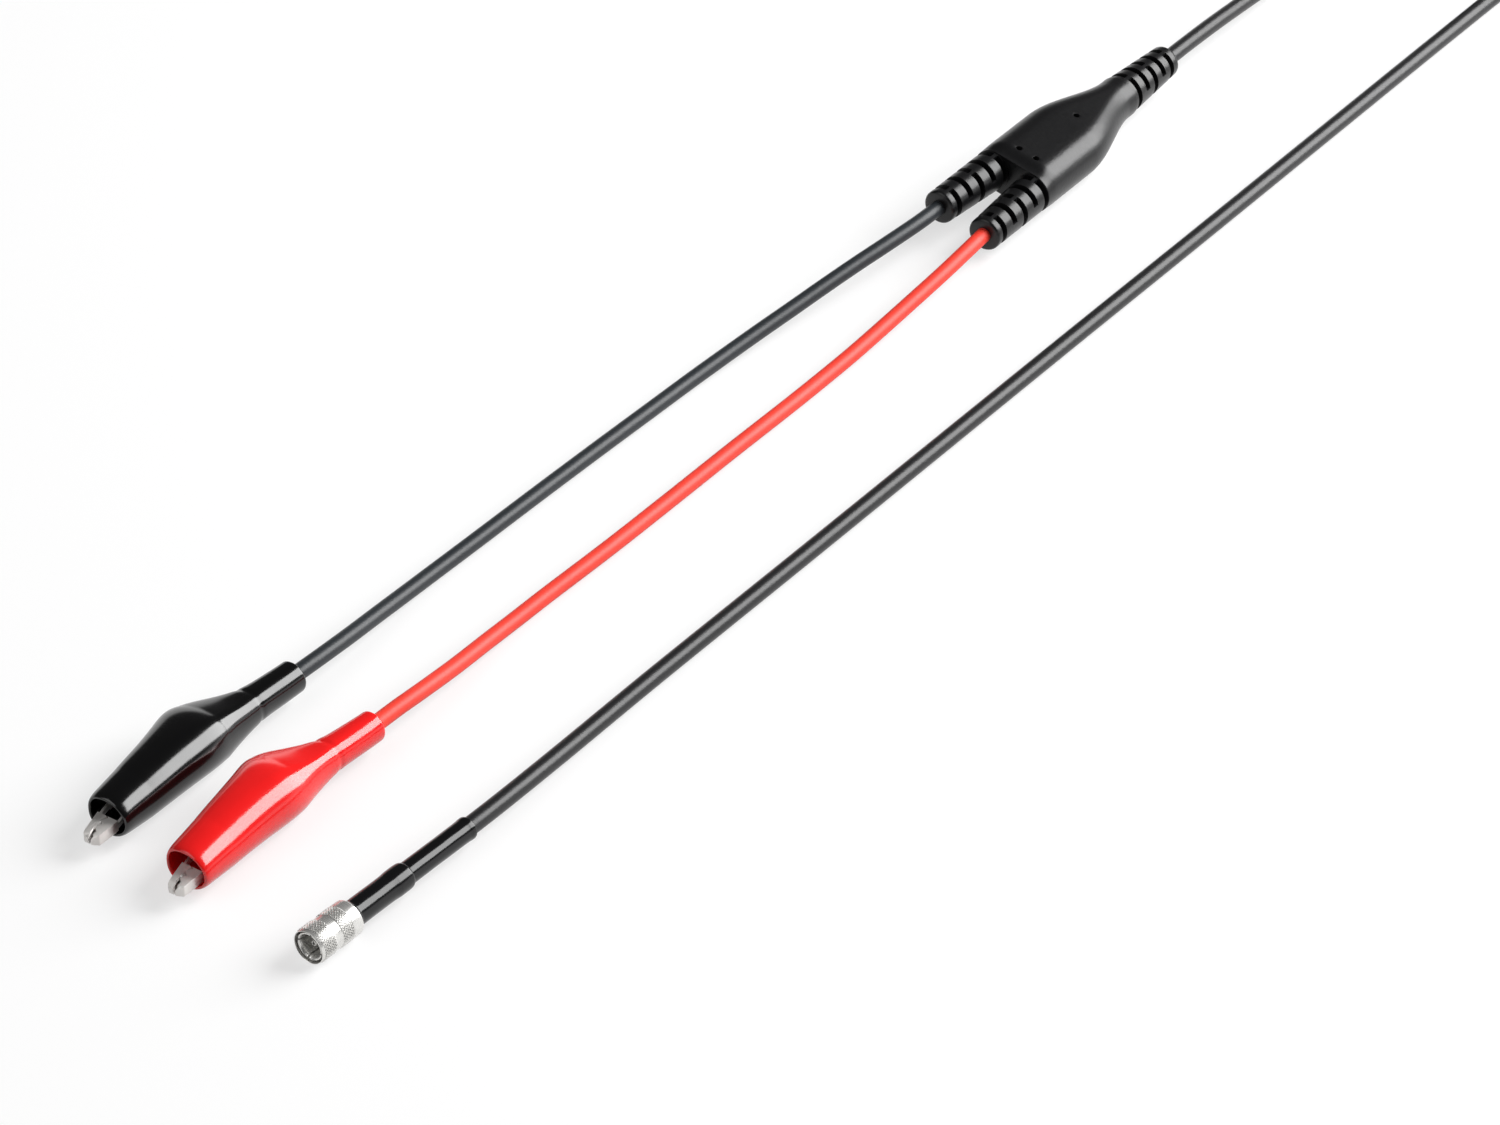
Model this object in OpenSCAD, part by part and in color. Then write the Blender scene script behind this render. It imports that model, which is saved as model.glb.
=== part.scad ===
// Two-wire input lead: a push-on coaxial plug, a coax cable wound into a storage coil,
// a moulded Y-junction and two insulated test leads that end in booted alligator clips.
// Millimetres. The lead lies on z = 0 and the cables run along X.

/* [Coax cable] */
// Outer diameter of the coax jacket
coax_d = 3; // [2.6:0.1:3.4]
// Diameter over the coax dielectric
dielectric_d = 1.5; // [1.3:0.05:1.6]
// Diameter of the coax centre conductor
core_d = 0.5; // [0.4:0.05:0.6]
// Thickness of the coax braid
braid_t = 0.35; // [0.2:0.05:0.4]

/* [Test leads] */
// Outer diameter of a test lead's insulation
lead_d = 2.75; // [2.4:0.05:3]
// Diameter over a test lead's stranded conductor
strand_d = 1.2; // [0.8:0.1:1.4]

/* [Plug] */
// Diameter over the knurled bands of the coupling sleeve
sleeve_d = 6.1; // [5.9:0.1:7]
// Length of the coupling sleeve
sleeve_len = 9.1; // [8.9:0.1:10.5]
// Outer diameter of the sleeve's front rim
rim_d = 5.66; // [5.5:0.02:5.8]
// Outer diameter of the plain groove between the knurled bands
groove_d = 5.8; // [5.5:0.05:5.85]
// Travel of the sleeve when it is pulled back
sleeve_travel = 1.2; // [0.6:0.1:1.5]
// Bore of the slotted collet, which takes the jack's barrel
collet_bore_d = 3.8; // [3.6:0.05:4.1]
// Outer diameter of the slotted collet
collet_d = 5; // [4.8:0.05:5.1]
// Number of slots in the collet
collet_slots = 4; // [4:1:8]
// Width of each collet slot
collet_slot_w = 0.3; // [0.2:0.05:0.4]
// Outer diameter of the centre contact
contact_d = 1; // [0.8:0.05:1.2]
// Bore of the centre contact, which takes the jack's pin
contact_bore_d = 0.54; // [0.5:0.02:0.6]
// Wire diameter of the sleeve's return spring
sleeve_wire_d = 0.3; // [0.2:0.05:0.35]
// Length of the crimp ferrule
ferrule_len = 10.6; // [9:0.1:11]
// Wall of the crimp ferrule
ferrule_wall = 0.2; // [0.15:0.05:0.4]
// Wall of the front heat-shrink tube
front_shrink_wall = 0.2; // [0.16:0.02:0.3]
// Length of the front heat-shrink tube
front_shrink_len = 12.5; // [11.5:0.1:14]
// Wall of the rear heat-shrink tube
rear_shrink_wall = 0.34; // [0.2:0.02:0.36]
// Length of the rear heat-shrink tube
rear_shrink_len = 15.7; // [12:0.1:20]

/* [Junction] */
// Length of the junction's body between its strain reliefs
body_len = 35.8; // [33:0.1:42]
// Length of the body's taper to the coax inlet
shoulder_len = 20; // [14:0.5:24]
// Roll of the junction about its own length as it lies
junction_roll = 13.5; // [0:0.5:20]
// Half of the thickness of the junction's body
body_half_t = 4.7; // [4.3:0.05:5]
// Half of the width of the body's flat faces
flat_half_w = 3.3; // [3:0.05:3.8]
// Distance of each outlet from the middle, at the crotch
crotch_offset = 4.35; // [4.2:0.05:4.6]
// Distance of each outlet from the middle, at its mouth
outlet_offset = 4.9; // [4.7:0.05:5.2]
// Outer radius of a lead outlet at its mouth
outlet_r = 3.1; // [2.9:0.05:3.3]
// Outer radius of a lead outlet at the crotch
outlet_root_r = 3.65; // [3.4:0.05:4]
// Outer radius of the coax inlet at its mouth
inlet_r = 3; // [2.9:0.05:3.3]
// Outer radius of the coax inlet at the body
inlet_root_r = 3.95; // [3.6:0.05:4.3]
// Length of the slotted strain relief on each outlet
outlet_relief_len = 16.7; // [15:0.1:20]
// Length of the slotted strain relief on the inlet
inlet_relief_len = 16.9; // [15.5:0.1:20]
// Rows of windows in each strain relief
relief_rows = 5; // [3:1:6]
// Axial width of a strain-relief window
window_w = 1.1; // [0.8:0.1:1.4]
// Rubber left between a window and the cable
window_floor = 0.55; // [0.4:0.05:0.8]
// Length of each lead inside the junction
lead_seat = 26; // [25:0.5:27]
// Diameter of the splice crimps
splice_d = 2.2; // [2:0.05:2.4]
// Length of the splice crimps
splice_len = 6; // [5:0.5:7]
// Diameter of the holes left by the mould's locating pins
pin_hole_d = 1.1; // [0.8:0.1:1.3]
// Depth of the holes left by the mould's locating pins
pin_hole_depth = 0.8; // [0.5:0.1:1]

/* [Clips] */
// Thickness of the jaws' sheet metal
sheet_t = 0.45; // [0.35:0.05:0.5]
// Reach of the jaws past the boot's mouth
nose_reach = 4.2; // [2:0.1:6]
// Length of the toothed plates at the nose
plate_len = 5.2; // [4.8:0.05:6]
// Half height of the toothed plates
plate_half_h = 0.95; // [0.8:0.05:1.2]
// Distance of the hinge pin behind the boot's mouth
pin_x = 9.3; // [8.8:0.1:10.5]
// Half height of the ears round the hinge pin
ear_half_h = 1.9; // [1.75:0.05:2]
// Distance of the fixed jaw's outer face from the boot's axis, at the teeth
fixed_jaw_y = 2.75; // [2.5:0.05:2.8]
// Distance of the fixed lever's outer face from the boot's axis
fixed_lever_y = 2.3; // [2.1:0.05:2.4]
// Distance of the moving jaw's outer face from the boot's axis, at the teeth's end
moving_jaw_y = 1.25; // [1.1:0.05:1.6]
// Distance of the moving lever's tip from the boot's axis
lever_reach = 7; // [6:0.1:7.2]
// Length of the moving lever behind the hinge pin
lever_len = 15; // [14:0.1:15.4]
// Half height of both levers
lever_half_h = 1.8; // [1.5:0.05:1.9]
// Distance of the wire crimp behind the hinge pin
crimp_setback = 15.5; // [15.1:0.1:17]
// Length of the wire crimp
crimp_len = 3.4; // [2.8:0.1:4]
// Pitch of the teeth
tooth_pitch = 1.7; // [1.2:0.1:1.8]
// Depth of the teeth
tooth_depth = 0.72; // [0.4:0.02:0.8]
// Diameter of the hinge pin
pin_d = 1.2; // [1:0.05:1.4]
// Wire diameter of the jaw spring
jaw_wire_d = 0.3; // [0.2:0.05:0.35]

/* [Boots] */
// Length of a boot
boot_len = 44.2; // [43:0.1:50]
// Wall of a boot
boot_wall = 0.6; // [0.5:0.05:0.7]
// Half height of a boot over the clip
boot_half_h = 4.2; // [4.1:0.05:4.6]
// Radius of a boot's mouth
mouth_r = 4; // [3.95:0.05:4.4]
// Reach of a boot over the moving lever
boot_open_side = 9; // [8.9:0.1:9.6]
// Reach of a boot over the fixed lever
boot_fixed_side = 3.75; // [3.7:0.05:4.3]
// Radius of a boot's tail
tail_r = 2.8; // [2.6:0.05:3.2]

/* [Storage coil] */
// Mean radius of the coil's middle turns
coil_r = 16.5; // [15:0.5:20]
// Columns of turns
coil_columns = 3; // [2:1:4]
// Layers of turns
coil_layers = 3; // [2:1:4]
// Thickness of the tie's strap
tie_t = 0.5; // [0.4:0.05:0.8]
// Width of the tie's strap
tie_w = 6; // [4:0.5:8]

/* [Hidden] */
$fn = 48;

// Clearances: what runs, what is assembled, and the 0.02 left round what is gripped.
running = 0.05;
grip = 0.02;
eps = 0.01;

// Colours
NICKEL = [0.78, 0.77, 0.74];
COPPER = [0.72, 0.45, 0.28];
PTFE = [0.93, 0.93, 0.9];
GLOSS_BLACK = [0.05, 0.05, 0.06];
RUBBER_BLACK = [0.08, 0.08, 0.09];
COAX_GREY = [0.17, 0.17, 0.18];
LEAD_GREY = [0.24, 0.26, 0.28];
LEAD_RED = [0.95, 0.3, 0.22];
BOOT_RED = [0.9, 0.1, 0.12];

// Where each assembly lies
PLUG_AT = [-144.5, -24.5];
PLUG_YAW = -2.9;
JUNCTION_AT = [77.4, 5.85];
BLACK_CLIP_AT = [-138.6, 19.2];
BLACK_CLIP_YAW = -1;
RED_CLIP_AT = [-141.7, 1.2];
RED_CLIP_YAW = -1.3;
COIL_AT = [241.5, -11.5];

// Routes of the cables' centres, from the junction outwards. Each passes straight
// through its strain relief, its heat-shrink or its boot.
BLACK_ROUTE = [
    [103.4, 9.78, 6.41], [90.4, 10.2, 6.51], [77.4, 10.61, 6.61], [72, 10.75, 6.55],
    [64, 11.8, 6], [55.5, 13.3, 5.15], [47.5, 14.65, 4.25], [39.5, 15.9, 3.35], [31.5, 17.05, 2.6],
    [22.5, 18.1, 1.9], [13.5, 18.75, 1.55], [4.5, 19.1, 1.4], [-12.5, 19.5, 1.4],
    [-29.5, 19.8, 1.4], [-46.5, 20, 1.4], [-55.5, 20.1, 1.45], [-63.5, 19.9, 1.8],
    [-71.5, 19.4, 2.5], [-80.5, 18.7, 3.4], [-88.5, 18.4, 4], [-93.7, 18.41, 4.2],
    [-110.3, 18.7, 4.2]
];
RED_ROUTE = [
    [103.4, 1.92, 4.53], [90.4, 1.5, 4.43], [77.4, 1.09, 4.33], [72.5, 0.85, 4.15],
    [63.5, 0.6, 3.6], [54.5, 0.6, 2.95], [45.5, 0.6, 2.35], [35.5, 0.6, 1.8], [26.5, 0.7, 1.5],
    [17.5, 0.75, 1.4], [-0.5, 0.9, 1.4], [-17.5, 0.9, 1.4], [-34.5, 1, 1.4], [-51.5, 1.4, 1.4],
    [-59.5, 1.4, 1.5], [-67.5, 1.1, 2], [-76.5, 0.5, 2.8], [-85.5, 0.1, 3.7], [-91.5, 0.1, 4.1],
    [-96.5, 0.17, 4.2], [-113.1, 0.55, 4.2]
];
COAX_RUN_ROUTE = [
    [-127.7, -25.35, 3.05], [-108.1, -26.34, 3.05], [-101.5, -26.4, 2.85], [-92.5, -26.2, 2.4],
    [-82.5, -25.9, 1.9], [-70.5, -25.7, 1.6], [-58.5, -25.7, 1.5], [-18.5, -26.3, 1.5],
    [21.5, -26.8, 1.5], [61.5, -27.3, 1.5], [101.5, -27.9, 1.5], [141.5, -28.4, 1.5],
    [181.5, -28.9, 1.5], [201.5, -29.2, 1.5], [212.5, -29.6, 1.8], [222.5, -30.2, 2.9],
    [232.5, -30.8, 4.4], [241.5, -31, 5.1]
];
COAX_TAIL_ROUTE = [
    [124.9, 5.85, 5.47], [146.8, 5.85, 5.47], [155, 5.9, 5.4], [164, 6, 5.1], [174, 6.15, 4.5],
    [185, 6.45, 3.6], [196, 6.9, 2.8], [207, 7.35, 2.25], [218, 7.7, 2.1], [230, 7.95, 2.1],
    [241.5, 8, 2.1]
];

// Points round the axis of a swept or lofted form
TUBE_SIDES = 8;
WIRE_SIDES = 6;
LOFT_STEP = 15;

// ---------- Shared geometry ----------

function mix(a, b, k) = a + (b - a) * k;
function ease(u) = let (v = min(1, max(0, u))) v * v * (3 - 2 * v);
function unit(v) = v / norm(v);
function signed_power(v, e) = sign(v) * pow(abs(v), e);

// Closed skin through rings that all hold the same number of points
module skin(rings) {
    n = len(rings[0]);
    m = len(rings);
    sides = [for (i = [0:m - 2], j = [0:n - 1])
        [i * n + j, (i + 1) * n + j, (i + 1) * n + (j + 1) % n, i * n + (j + 1) % n]];
    first = [[for (j = [0:n - 1]) j]];
    last = [[for (j = [n - 1:-1:0]) (m - 1) * n + j]];
    polyhedron([for (r = rings) each r], concat(sides, first, last), convexity = 6);
}

// Direction of travel at point i of a path
function heading(path, i) = let (
    m = len(path) - 1,
    before = i > 0 ? unit(path[i] - path[i - 1]) : [0, 0, 0],
    after = i < m ? unit(path[i + 1] - path[i]) : [0, 0, 0]
) unit(before + after);

// Round tube of radius r swept along a path that never runs along the vector up
module sweep(path, r, sides, up = [0, 0, 1]) {
    rings = [for (i = [0:len(path) - 1]) let (
        t = heading(path, i),
        a = unit(cross(t, up)),
        b = cross(a, t)
    ) [for (j = [0:sides - 1]) path[i] + r * (cos(360 * j / sides) * b + sin(360 * j / sides) * a)]];
    skin(rings);
}

// Turned solid about the X axis, from an outline of [radius, x] points
module turned(outline) {
    rotate([0, 90, 0]) rotate_extrude() polygon(outline);
}

// Plain tube along X
module tube(x0, x1, r_in, r_out) {
    turned([[r_in, x0], [r_out, x0], [r_out, x1], [r_in, x1]]);
}

// Plain rod along X
module rod(x0, x1, r) {
    translate([x0, 0, 0]) rotate([0, 90, 0]) cylinder(r = r, h = x1 - x0);
}

// Rod between any two points
module rod_between(p, q, r) {
    d = q - p;
    yaw = atan2(d[1], d[0]);
    pitch = atan2(d[2], norm([d[0], d[1]]));
    translate(p) rotate([0, 90 - pitch, yaw]) cylinder(r = r, h = norm(d));
}

// ---------- Plug ----------
// Plug frame: x = 0 at the sleeve's front face, +x towards the cable.

module at_plug() {
    translate([PLUG_AT[0], PLUG_AT[1], sleeve_d / 2]) rotate([0, 0, PLUG_YAW]) children();
}

collet_front = 0.25;
collet_back = 4.9;
shoulder_front = collet_back + 0.1;
shoulder_t = 0.4;
neck_r = collet_bore_d / 2 + 0.05;
neck_end = sleeve_len + 0.5;
// Turn of the first slot from the top, each knurled band's ends and the slope beside a band
collet_turn = 10;
front_band = [0.7, 3.1];
rear_band = [4.8, 6.9];
band_edge = 0.2;
post_len = 6.8;
post_r = 1.35;
post_end = neck_end + post_len;
ring_t = 0.35;
ring_front = sleeve_len - 0.8;
ring_groove_r = neck_r - 0.3;
sleeve_bore_r = collet_d / 2 + 0.08;
insulator_r = 1.5;
insulator_front = 4.2;
contact_front = 1.2;
contact_depth = 2.2;
cup_depth = 1.6;
jacket_front = post_end + 0.4;
braid_r = post_r + grip + braid_t;
ferrule_front = neck_end + 0.15;
ferrule_end = ferrule_front + ferrule_len;
ferrule_r_in = max(braid_r, coax_d / 2) + grip;
ferrule_r = ferrule_r_in + ferrule_wall;
flare = 0.1;
flare_front = ferrule_end - 2.1;
front_shrink_x = sleeve_len + 0.1;
lip_r = sleeve_bore_r - 0.15;
lip_len = 0.35;
front_shrink_end = front_shrink_x + front_shrink_len;
rear_shrink_x = ferrule_end + 0.1;
rear_shrink_r_in = coax_d / 2 + grip;
rear_shrink_end = rear_shrink_x + rear_shrink_len;

module coupling_sleeve() {
    rim = rim_d / 2;
    knurl = sleeve_d / 2;
    groove = groove_d / 2;
    back = sleeve_d / 2 - 0.09;
    color(NICKEL) at_plug() turned([
        [sleeve_bore_r + 0.12, 0], [rim, 0.12], [rim, front_band[0] - band_edge],
        [knurl, front_band[0]], [knurl, front_band[1]],
        [groove, front_band[1] + band_edge], [groove, rear_band[0] - band_edge],
        [knurl, rear_band[0]], [knurl, rear_band[1]], [back, rear_band[1] + band_edge],
        [back - 0.03, sleeve_len - 0.4], [back - 0.12, sleeve_len - 0.1],
        [sleeve_bore_r + 0.15, sleeve_len], [sleeve_bore_r, sleeve_len],
        [sleeve_bore_r, shoulder_front + shoulder_t], [neck_r + running, shoulder_front + shoulder_t],
        [neck_r + running, shoulder_front], [sleeve_bore_r, shoulder_front], [sleeve_bore_r, 0.05]
    ]);
}

module plug_body() {
    bore = collet_bore_d / 2;
    color(NICKEL) at_plug() difference() {
        turned([
            [bore, collet_front + 0.2], [bore + 0.2, collet_front], [collet_d / 2 - 0.15, collet_front],
            [collet_d / 2, collet_front + 0.15], [collet_d / 2, collet_back], [neck_r, collet_back],
            [neck_r, ring_front], [ring_groove_r, ring_front], [ring_groove_r, ring_front + ring_t],
            [neck_r, ring_front + ring_t], [neck_r, neck_end], [post_r, neck_end], [post_r, post_end],
            [dielectric_d / 2 + running, post_end], [dielectric_d / 2 + running, neck_end],
            [insulator_r, neck_end], [insulator_r, insulator_front], [bore, insulator_front]
        ]);
        for (i = [0:collet_slots - 1])
            rotate([collet_turn + 360 * i / collet_slots, 0, 0])
                translate([collet_front - 1, -collet_slot_w / 2, 0])
                    cube([collet_back - collet_front + 0.5, collet_slot_w, collet_d]);
    }
}

module plug_insulator() {
    color(PTFE) at_plug() tube(insulator_front, neck_end, contact_d / 2, insulator_r);
}

module centre_contact() {
    color(NICKEL) at_plug() difference() {
        turned([
            [contact_bore_d / 2, contact_front], [contact_d / 2 - 0.12, contact_front],
            [contact_d / 2, contact_front + 0.2], [contact_d / 2, neck_end],
            [core_d / 2, neck_end], [core_d / 2, neck_end - cup_depth], [0, neck_end - cup_depth],
            [0, contact_front + contact_depth], [contact_bore_d / 2, contact_front + contact_depth]
        ]);
        translate([contact_front - 1, -0.06, -contact_d])
            cube([contact_depth + 0.6, 0.12, 2 * contact_d]);
    }
}

module retaining_ring() {
    color(NICKEL) at_plug()
        tube(ring_front, ring_front + ring_t, ring_groove_r, sleeve_bore_r - 0.08);
}

module sleeve_spring() {
    turns = 4;
    steps = 12;
    coil_mean = (neck_r + sleeve_bore_r) / 2;
    x0 = shoulder_front + shoulder_t + sleeve_wire_d / 2 + running;
    x1 = ring_front - sleeve_wire_d / 2 - running;
    path = [for (i = [0:turns * steps]) let (a = 360 * i / steps)
        [mix(x0, x1, i / (turns * steps)), coil_mean * cos(a), coil_mean * sin(a)]];
    color(NICKEL) at_plug() sweep(path, sleeve_wire_d / 2, WIRE_SIDES, up = [1, 0, 0]);
}

module plug_braid() {
    color(COPPER) at_plug() tube(ferrule_front + 0.1, post_end + 0.2, post_r + grip / 2, braid_r);
}

module crimp_ferrule() {
    color(NICKEL) at_plug() turned([
        [ferrule_r_in, ferrule_front], [ferrule_r, ferrule_front], [ferrule_r, flare_front],
        [ferrule_r + flare, flare_front + 0.4], [ferrule_r + flare, ferrule_end],
        [ferrule_r_in, ferrule_end]
    ]);
}

module front_heat_shrink() {
    r = ferrule_r + grip;
    w = front_shrink_wall;
    color(GLOSS_BLACK) at_plug() turned([
        [r, front_shrink_x], [lip_r, front_shrink_x], [lip_r, front_shrink_x + lip_len],
        [r + w, front_shrink_x + 2 * lip_len], [r + w - 0.05, flare_front - 0.5],
        [r + w + flare, flare_front + 0.5], [r + w + flare, ferrule_end + 0.1],
        [r + w, front_shrink_end - 0.3], [r, front_shrink_end],
        [rear_shrink_r_in + rear_shrink_wall + grip, front_shrink_end],
        [rear_shrink_r_in + rear_shrink_wall + grip, ferrule_end + 0.05],
        [r + flare, ferrule_end + 0.02], [r + flare, flare_front + 0.4], [r, flare_front]
    ]);
}

module rear_heat_shrink() {
    r = rear_shrink_r_in + rear_shrink_wall;
    color(GLOSS_BLACK) at_plug() turned([
        [rear_shrink_r_in, rear_shrink_x], [r, rear_shrink_x], [r - 0.03, rear_shrink_end - 1],
        [r + 0.06, rear_shrink_end - 0.15], [r, rear_shrink_end], [rear_shrink_r_in, rear_shrink_end]
    ]);
}

module plug_dielectric() {
    color(PTFE) at_plug() tube(neck_end, jacket_front, core_d / 2, dielectric_d / 2);
}

module plug_core() {
    color(COPPER) at_plug() rod(neck_end - cup_depth, jacket_front, core_d / 2);
}

// ---------- Junction ----------
// Junction frame: x = 0 at the outlets' mouths, +x towards the coax inlet, +y the black side.

junction_z = body_half_t + flat_half_w * sin(junction_roll);
junction_len = outlet_relief_len + body_len + inlet_relief_len;

module at_junction() {
    translate([JUNCTION_AT[0], JUNCTION_AT[1], junction_z]) rotate([junction_roll, 0, 0]) children();
}

relief_start = outlet_relief_len + body_len;
shoulder_start = relief_start - shoulder_len;
side_window = 83;
flat_window = 65;
outlet_fan = atan2(outlet_offset - crotch_offset, outlet_relief_len);
mould_front = outlet_relief_len + 4;
mould_back = relief_start - 3;
mould_wall = 1.6;
lead_end = lead_seat;
splice_start = lead_end + 2;
splice_end = splice_start + splice_len;
coax_end = relief_start - 5;
core_start = coax_end - 4;

// Distance of an outlet's centre line from the middle, x behind the mouth
function outlet_y(x) = outlet_offset - x * tan(outlet_fan);

// Flat-sided section with round ends, c the reach of the flat, r the end radius
function body_ring(x, c, r) = concat(
    [for (a = [-90:LOFT_STEP:90]) [x, c + r * cos(a), r * sin(a)]],
    [for (a = [90:LOFT_STEP:270]) [x, -c + r * cos(a), r * sin(a)]]
);

// Reach of the section's flat, x behind the outlets' mouths
function flat_reach(x, c) = max(0.1, c * (1 - ease((x - shoulder_start) / (relief_start - shoulder_start))));

module junction_loft(x0, x1, c, r, r_end) {
    steps = 14;
    skin([for (i = [0:steps]) let (x = mix(x0, x1, i / steps))
        body_ring(x, flat_reach(x, c), mix(r, r_end, ease((x - shoulder_start) / (relief_start - shoulder_start))))]);
}

module mould_core() {
    thickness = body_half_t - mould_wall;
    junction_loft(mould_front, mould_back, flat_half_w, thickness, inlet_root_r - mould_wall);
}

// Window rows of a strain relief: two windows a row, on the sides in every first row and
// on the flat faces in every second one
module relief_windows(first_x, last_x, floor_r, out_r) {
    for (i = [0:relief_rows - 1]) {
        on_side = i % 2 == 0;
        half = on_side ? side_window : flat_window;
        for (side = [0, 180])
            translate([mix(first_x, last_x, i / (relief_rows - 1)), 0, 0])
                rotate([side + (on_side ? 90 : 0), 0, 0])
                    rotate([0, 90, 0]) rotate([0, 0, -half]) rotate_extrude(angle = 2 * half)
                        translate([floor_r, -window_w / 2]) square([out_r - floor_r, window_w]);
    }
}

// The frame of one outlet, side = 1 black or -1 red
module at_outlet(side) {
    translate([0, side * outlet_offset, 0]) rotate([0, 0, -side * outlet_fan]) children();
}

module junction_overmould() {
    lead_bore = lead_d / 2 + grip;
    coax_bore = coax_d / 2 + grip;
    lead_floor = lead_d / 2 + window_floor;
    coax_floor = coax_d / 2 + window_floor;
    pin_holes = [[outlet_relief_len + 3.3, 1.85], [outlet_relief_len + 3.3, -1.85],
                 [outlet_relief_len + 0.55 * body_len, 0]];
    color(RUBBER_BLACK) at_junction() difference() {
        union() {
            junction_loft(outlet_relief_len, relief_start + 0.5, flat_half_w, body_half_t, inlet_root_r);
            for (side = [1, -1]) at_outlet(side)
                turned([[0, 0], [outlet_r - 0.35, 0], [outlet_r, 0.4],
                        [outlet_root_r, outlet_relief_len + 1], [0, outlet_relief_len + 1]]);
            turned([[0, relief_start], [inlet_root_r, relief_start], [inlet_r, junction_len - 0.4],
                    [inlet_r - 0.35, junction_len], [0, junction_len]]);
        }
        for (side = [1, -1]) at_outlet(side) {
            relief_windows(2.15, outlet_relief_len - 0.85, lead_floor, outlet_root_r + 0.4);
            rod(-1, mould_front + 0.5, lead_bore);
        }
        relief_windows(relief_start + 2.05, junction_len - 2.6, coax_floor, inlet_root_r + 0.4);
        rod(mould_back - 0.5, junction_len + 1, coax_bore);
        mould_core();
        for (p = pin_holes)
            translate([p[0], p[1], body_half_t - pin_hole_depth]) cylinder(d = pin_hole_d, h = 2);
    }
}

module junction_inner_mould() {
    color(RUBBER_BLACK) at_junction() difference() {
        mould_core();
        for (side = [1, -1]) at_outlet(side) {
            rod(mould_front - 1, lead_end, lead_d / 2 + grip);
            rod(lead_end - 0.5, splice_end + 0.5, splice_d / 2 + grip);
        }
        rod(coax_end, mould_back + 1, coax_d / 2 + grip);
        rod(core_start - 0.5, coax_end + 0.5, dielectric_d / 2 + grip);
        rod_between(pigtail_from, pigtail_to, pigtail_r + grip);
        rod_between(core_from, core_to, core_d / 2 + grip);
    }
}

pigtail_r = 0.5;
pigtail_from = [splice_end + 0.4, outlet_y(splice_end), 0];
pigtail_to = [coax_end - 0.1, dielectric_d / 2 + pigtail_r + 0.1, 0];
core_from = [splice_end + 0.4, -outlet_y(splice_end), 0];
core_to = [core_start, 0, 0];

module ground_splice() {
    color(COPPER) at_junction() at_outlet(1) tube(splice_start, splice_end, strand_d / 2, splice_d / 2);
}

module signal_splice() {
    color(COPPER) at_junction() at_outlet(-1) tube(splice_start, splice_end, strand_d / 2, splice_d / 2);
}

module ground_strands() {
    color(COPPER) at_junction() at_outlet(1) rod(lead_end + grip, splice_end, strand_d / 2);
}

module signal_strands() {
    color(COPPER) at_junction() at_outlet(-1) rod(lead_end + grip, splice_end, strand_d / 2);
}

module braid_pigtail() {
    color(COPPER) at_junction() rod_between(pigtail_from, pigtail_to, pigtail_r);
}

module junction_dielectric() {
    color(PTFE) at_junction() rod(core_start, coax_end, dielectric_d / 2);
}

module signal_core() {
    color(COPPER) at_junction() rod_between(core_from, core_to, core_d / 2);
}

// ---------- Clips ----------
// Boot frame: x = 0 at the boot's mouth, +x towards the cable, the moving jaw on the +y side.
// Clip frame: the boot frame with the clip's nose drooping in the loose mouth.

module at_black_boot() {
    translate([BLACK_CLIP_AT[0], BLACK_CLIP_AT[1], boot_half_h]) rotate([0, 0, BLACK_CLIP_YAW]) children();
}

module at_red_boot() {
    translate([RED_CLIP_AT[0], RED_CLIP_AT[1], boot_half_h]) rotate([0, 0, RED_CLIP_YAW]) children();
}

// How far each clip sits out of its boot, and off the boot's axis
BLACK_SEAT = [-0.9, 0.3];
RED_SEAT = [0, 0];
clip_droop = 1.6;

module at_seat(seat) {
    translate([crimp_mid + seat[0], seat[1], 0]) rotate([0, -clip_droop, 0])
        translate([-crimp_mid, 0, 0]) children();
}

module at_black_clip() { at_black_boot() at_seat(BLACK_SEAT) children(); }
module at_red_clip() { at_red_boot() at_seat(RED_SEAT) children(); }

nose_x = -nose_reach;
plate_end = nose_x + plate_len;
nose_tip = 0.7;
throat_half_h = 0.5;
throat_end = plate_end + 2.4;
ear_start = pin_x - 3;
ear_end = pin_x + 4.5;
pin_y = 0.8;
fixed_ear_r = pin_d / 2 + 1.3;
moving_ear_r = pin_d / 2 + 0.9;
inner_half_h = ear_half_h - sheet_t;
moving_half_h = inner_half_h - running;
spring_half_h = moving_half_h - sheet_t;
lever_end = pin_x + lever_len;
crimp_x = pin_x + crimp_setback;
lever_turn = crimp_x - 2.3;
crimp_end = crimp_x + crimp_len;
crimp_mid = crimp_x + crimp_len / 2;
crimp_r = strand_d / 2 + 0.5;
clip_lead_x = crimp_end + 0.35;

// The teeth meet along a line that runs aslant from the nose to the plates' rear edge
bite_from = [nose_x, -1.6];
bite_to = [plate_end, -0.55];
bite_a = atan2(bite_to[1] - bite_from[1], bite_to[0] - bite_from[0]);
teeth_from = norm(bite_to - bite_from) - 2.25 * tooth_pitch;

// Point u along the bite and v to the moving side of it
function bite(u, v) = bite_from + u * [cos(bite_a), sin(bite_a)] + v * [-sin(bite_a), cos(bite_a)];

// Teeth from the nose backwards; du and dv move a jaw's edge off the bite
function teeth(first_v, du, dv) = concat(
    [bite(teeth_from + du, first_v + dv)],
    [for (i = [1:4]) bite(teeth_from + i * tooth_pitch / 2 + du, (i % 2 == 1 ? 0.5 : -0.5) * tooth_depth + dv)]
);

// Outer face of the moving jaw and its lever
function lever_y(x) = mix(moving_jaw_y, lever_reach, (x - plate_end) / (lever_end - plate_end));

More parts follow.
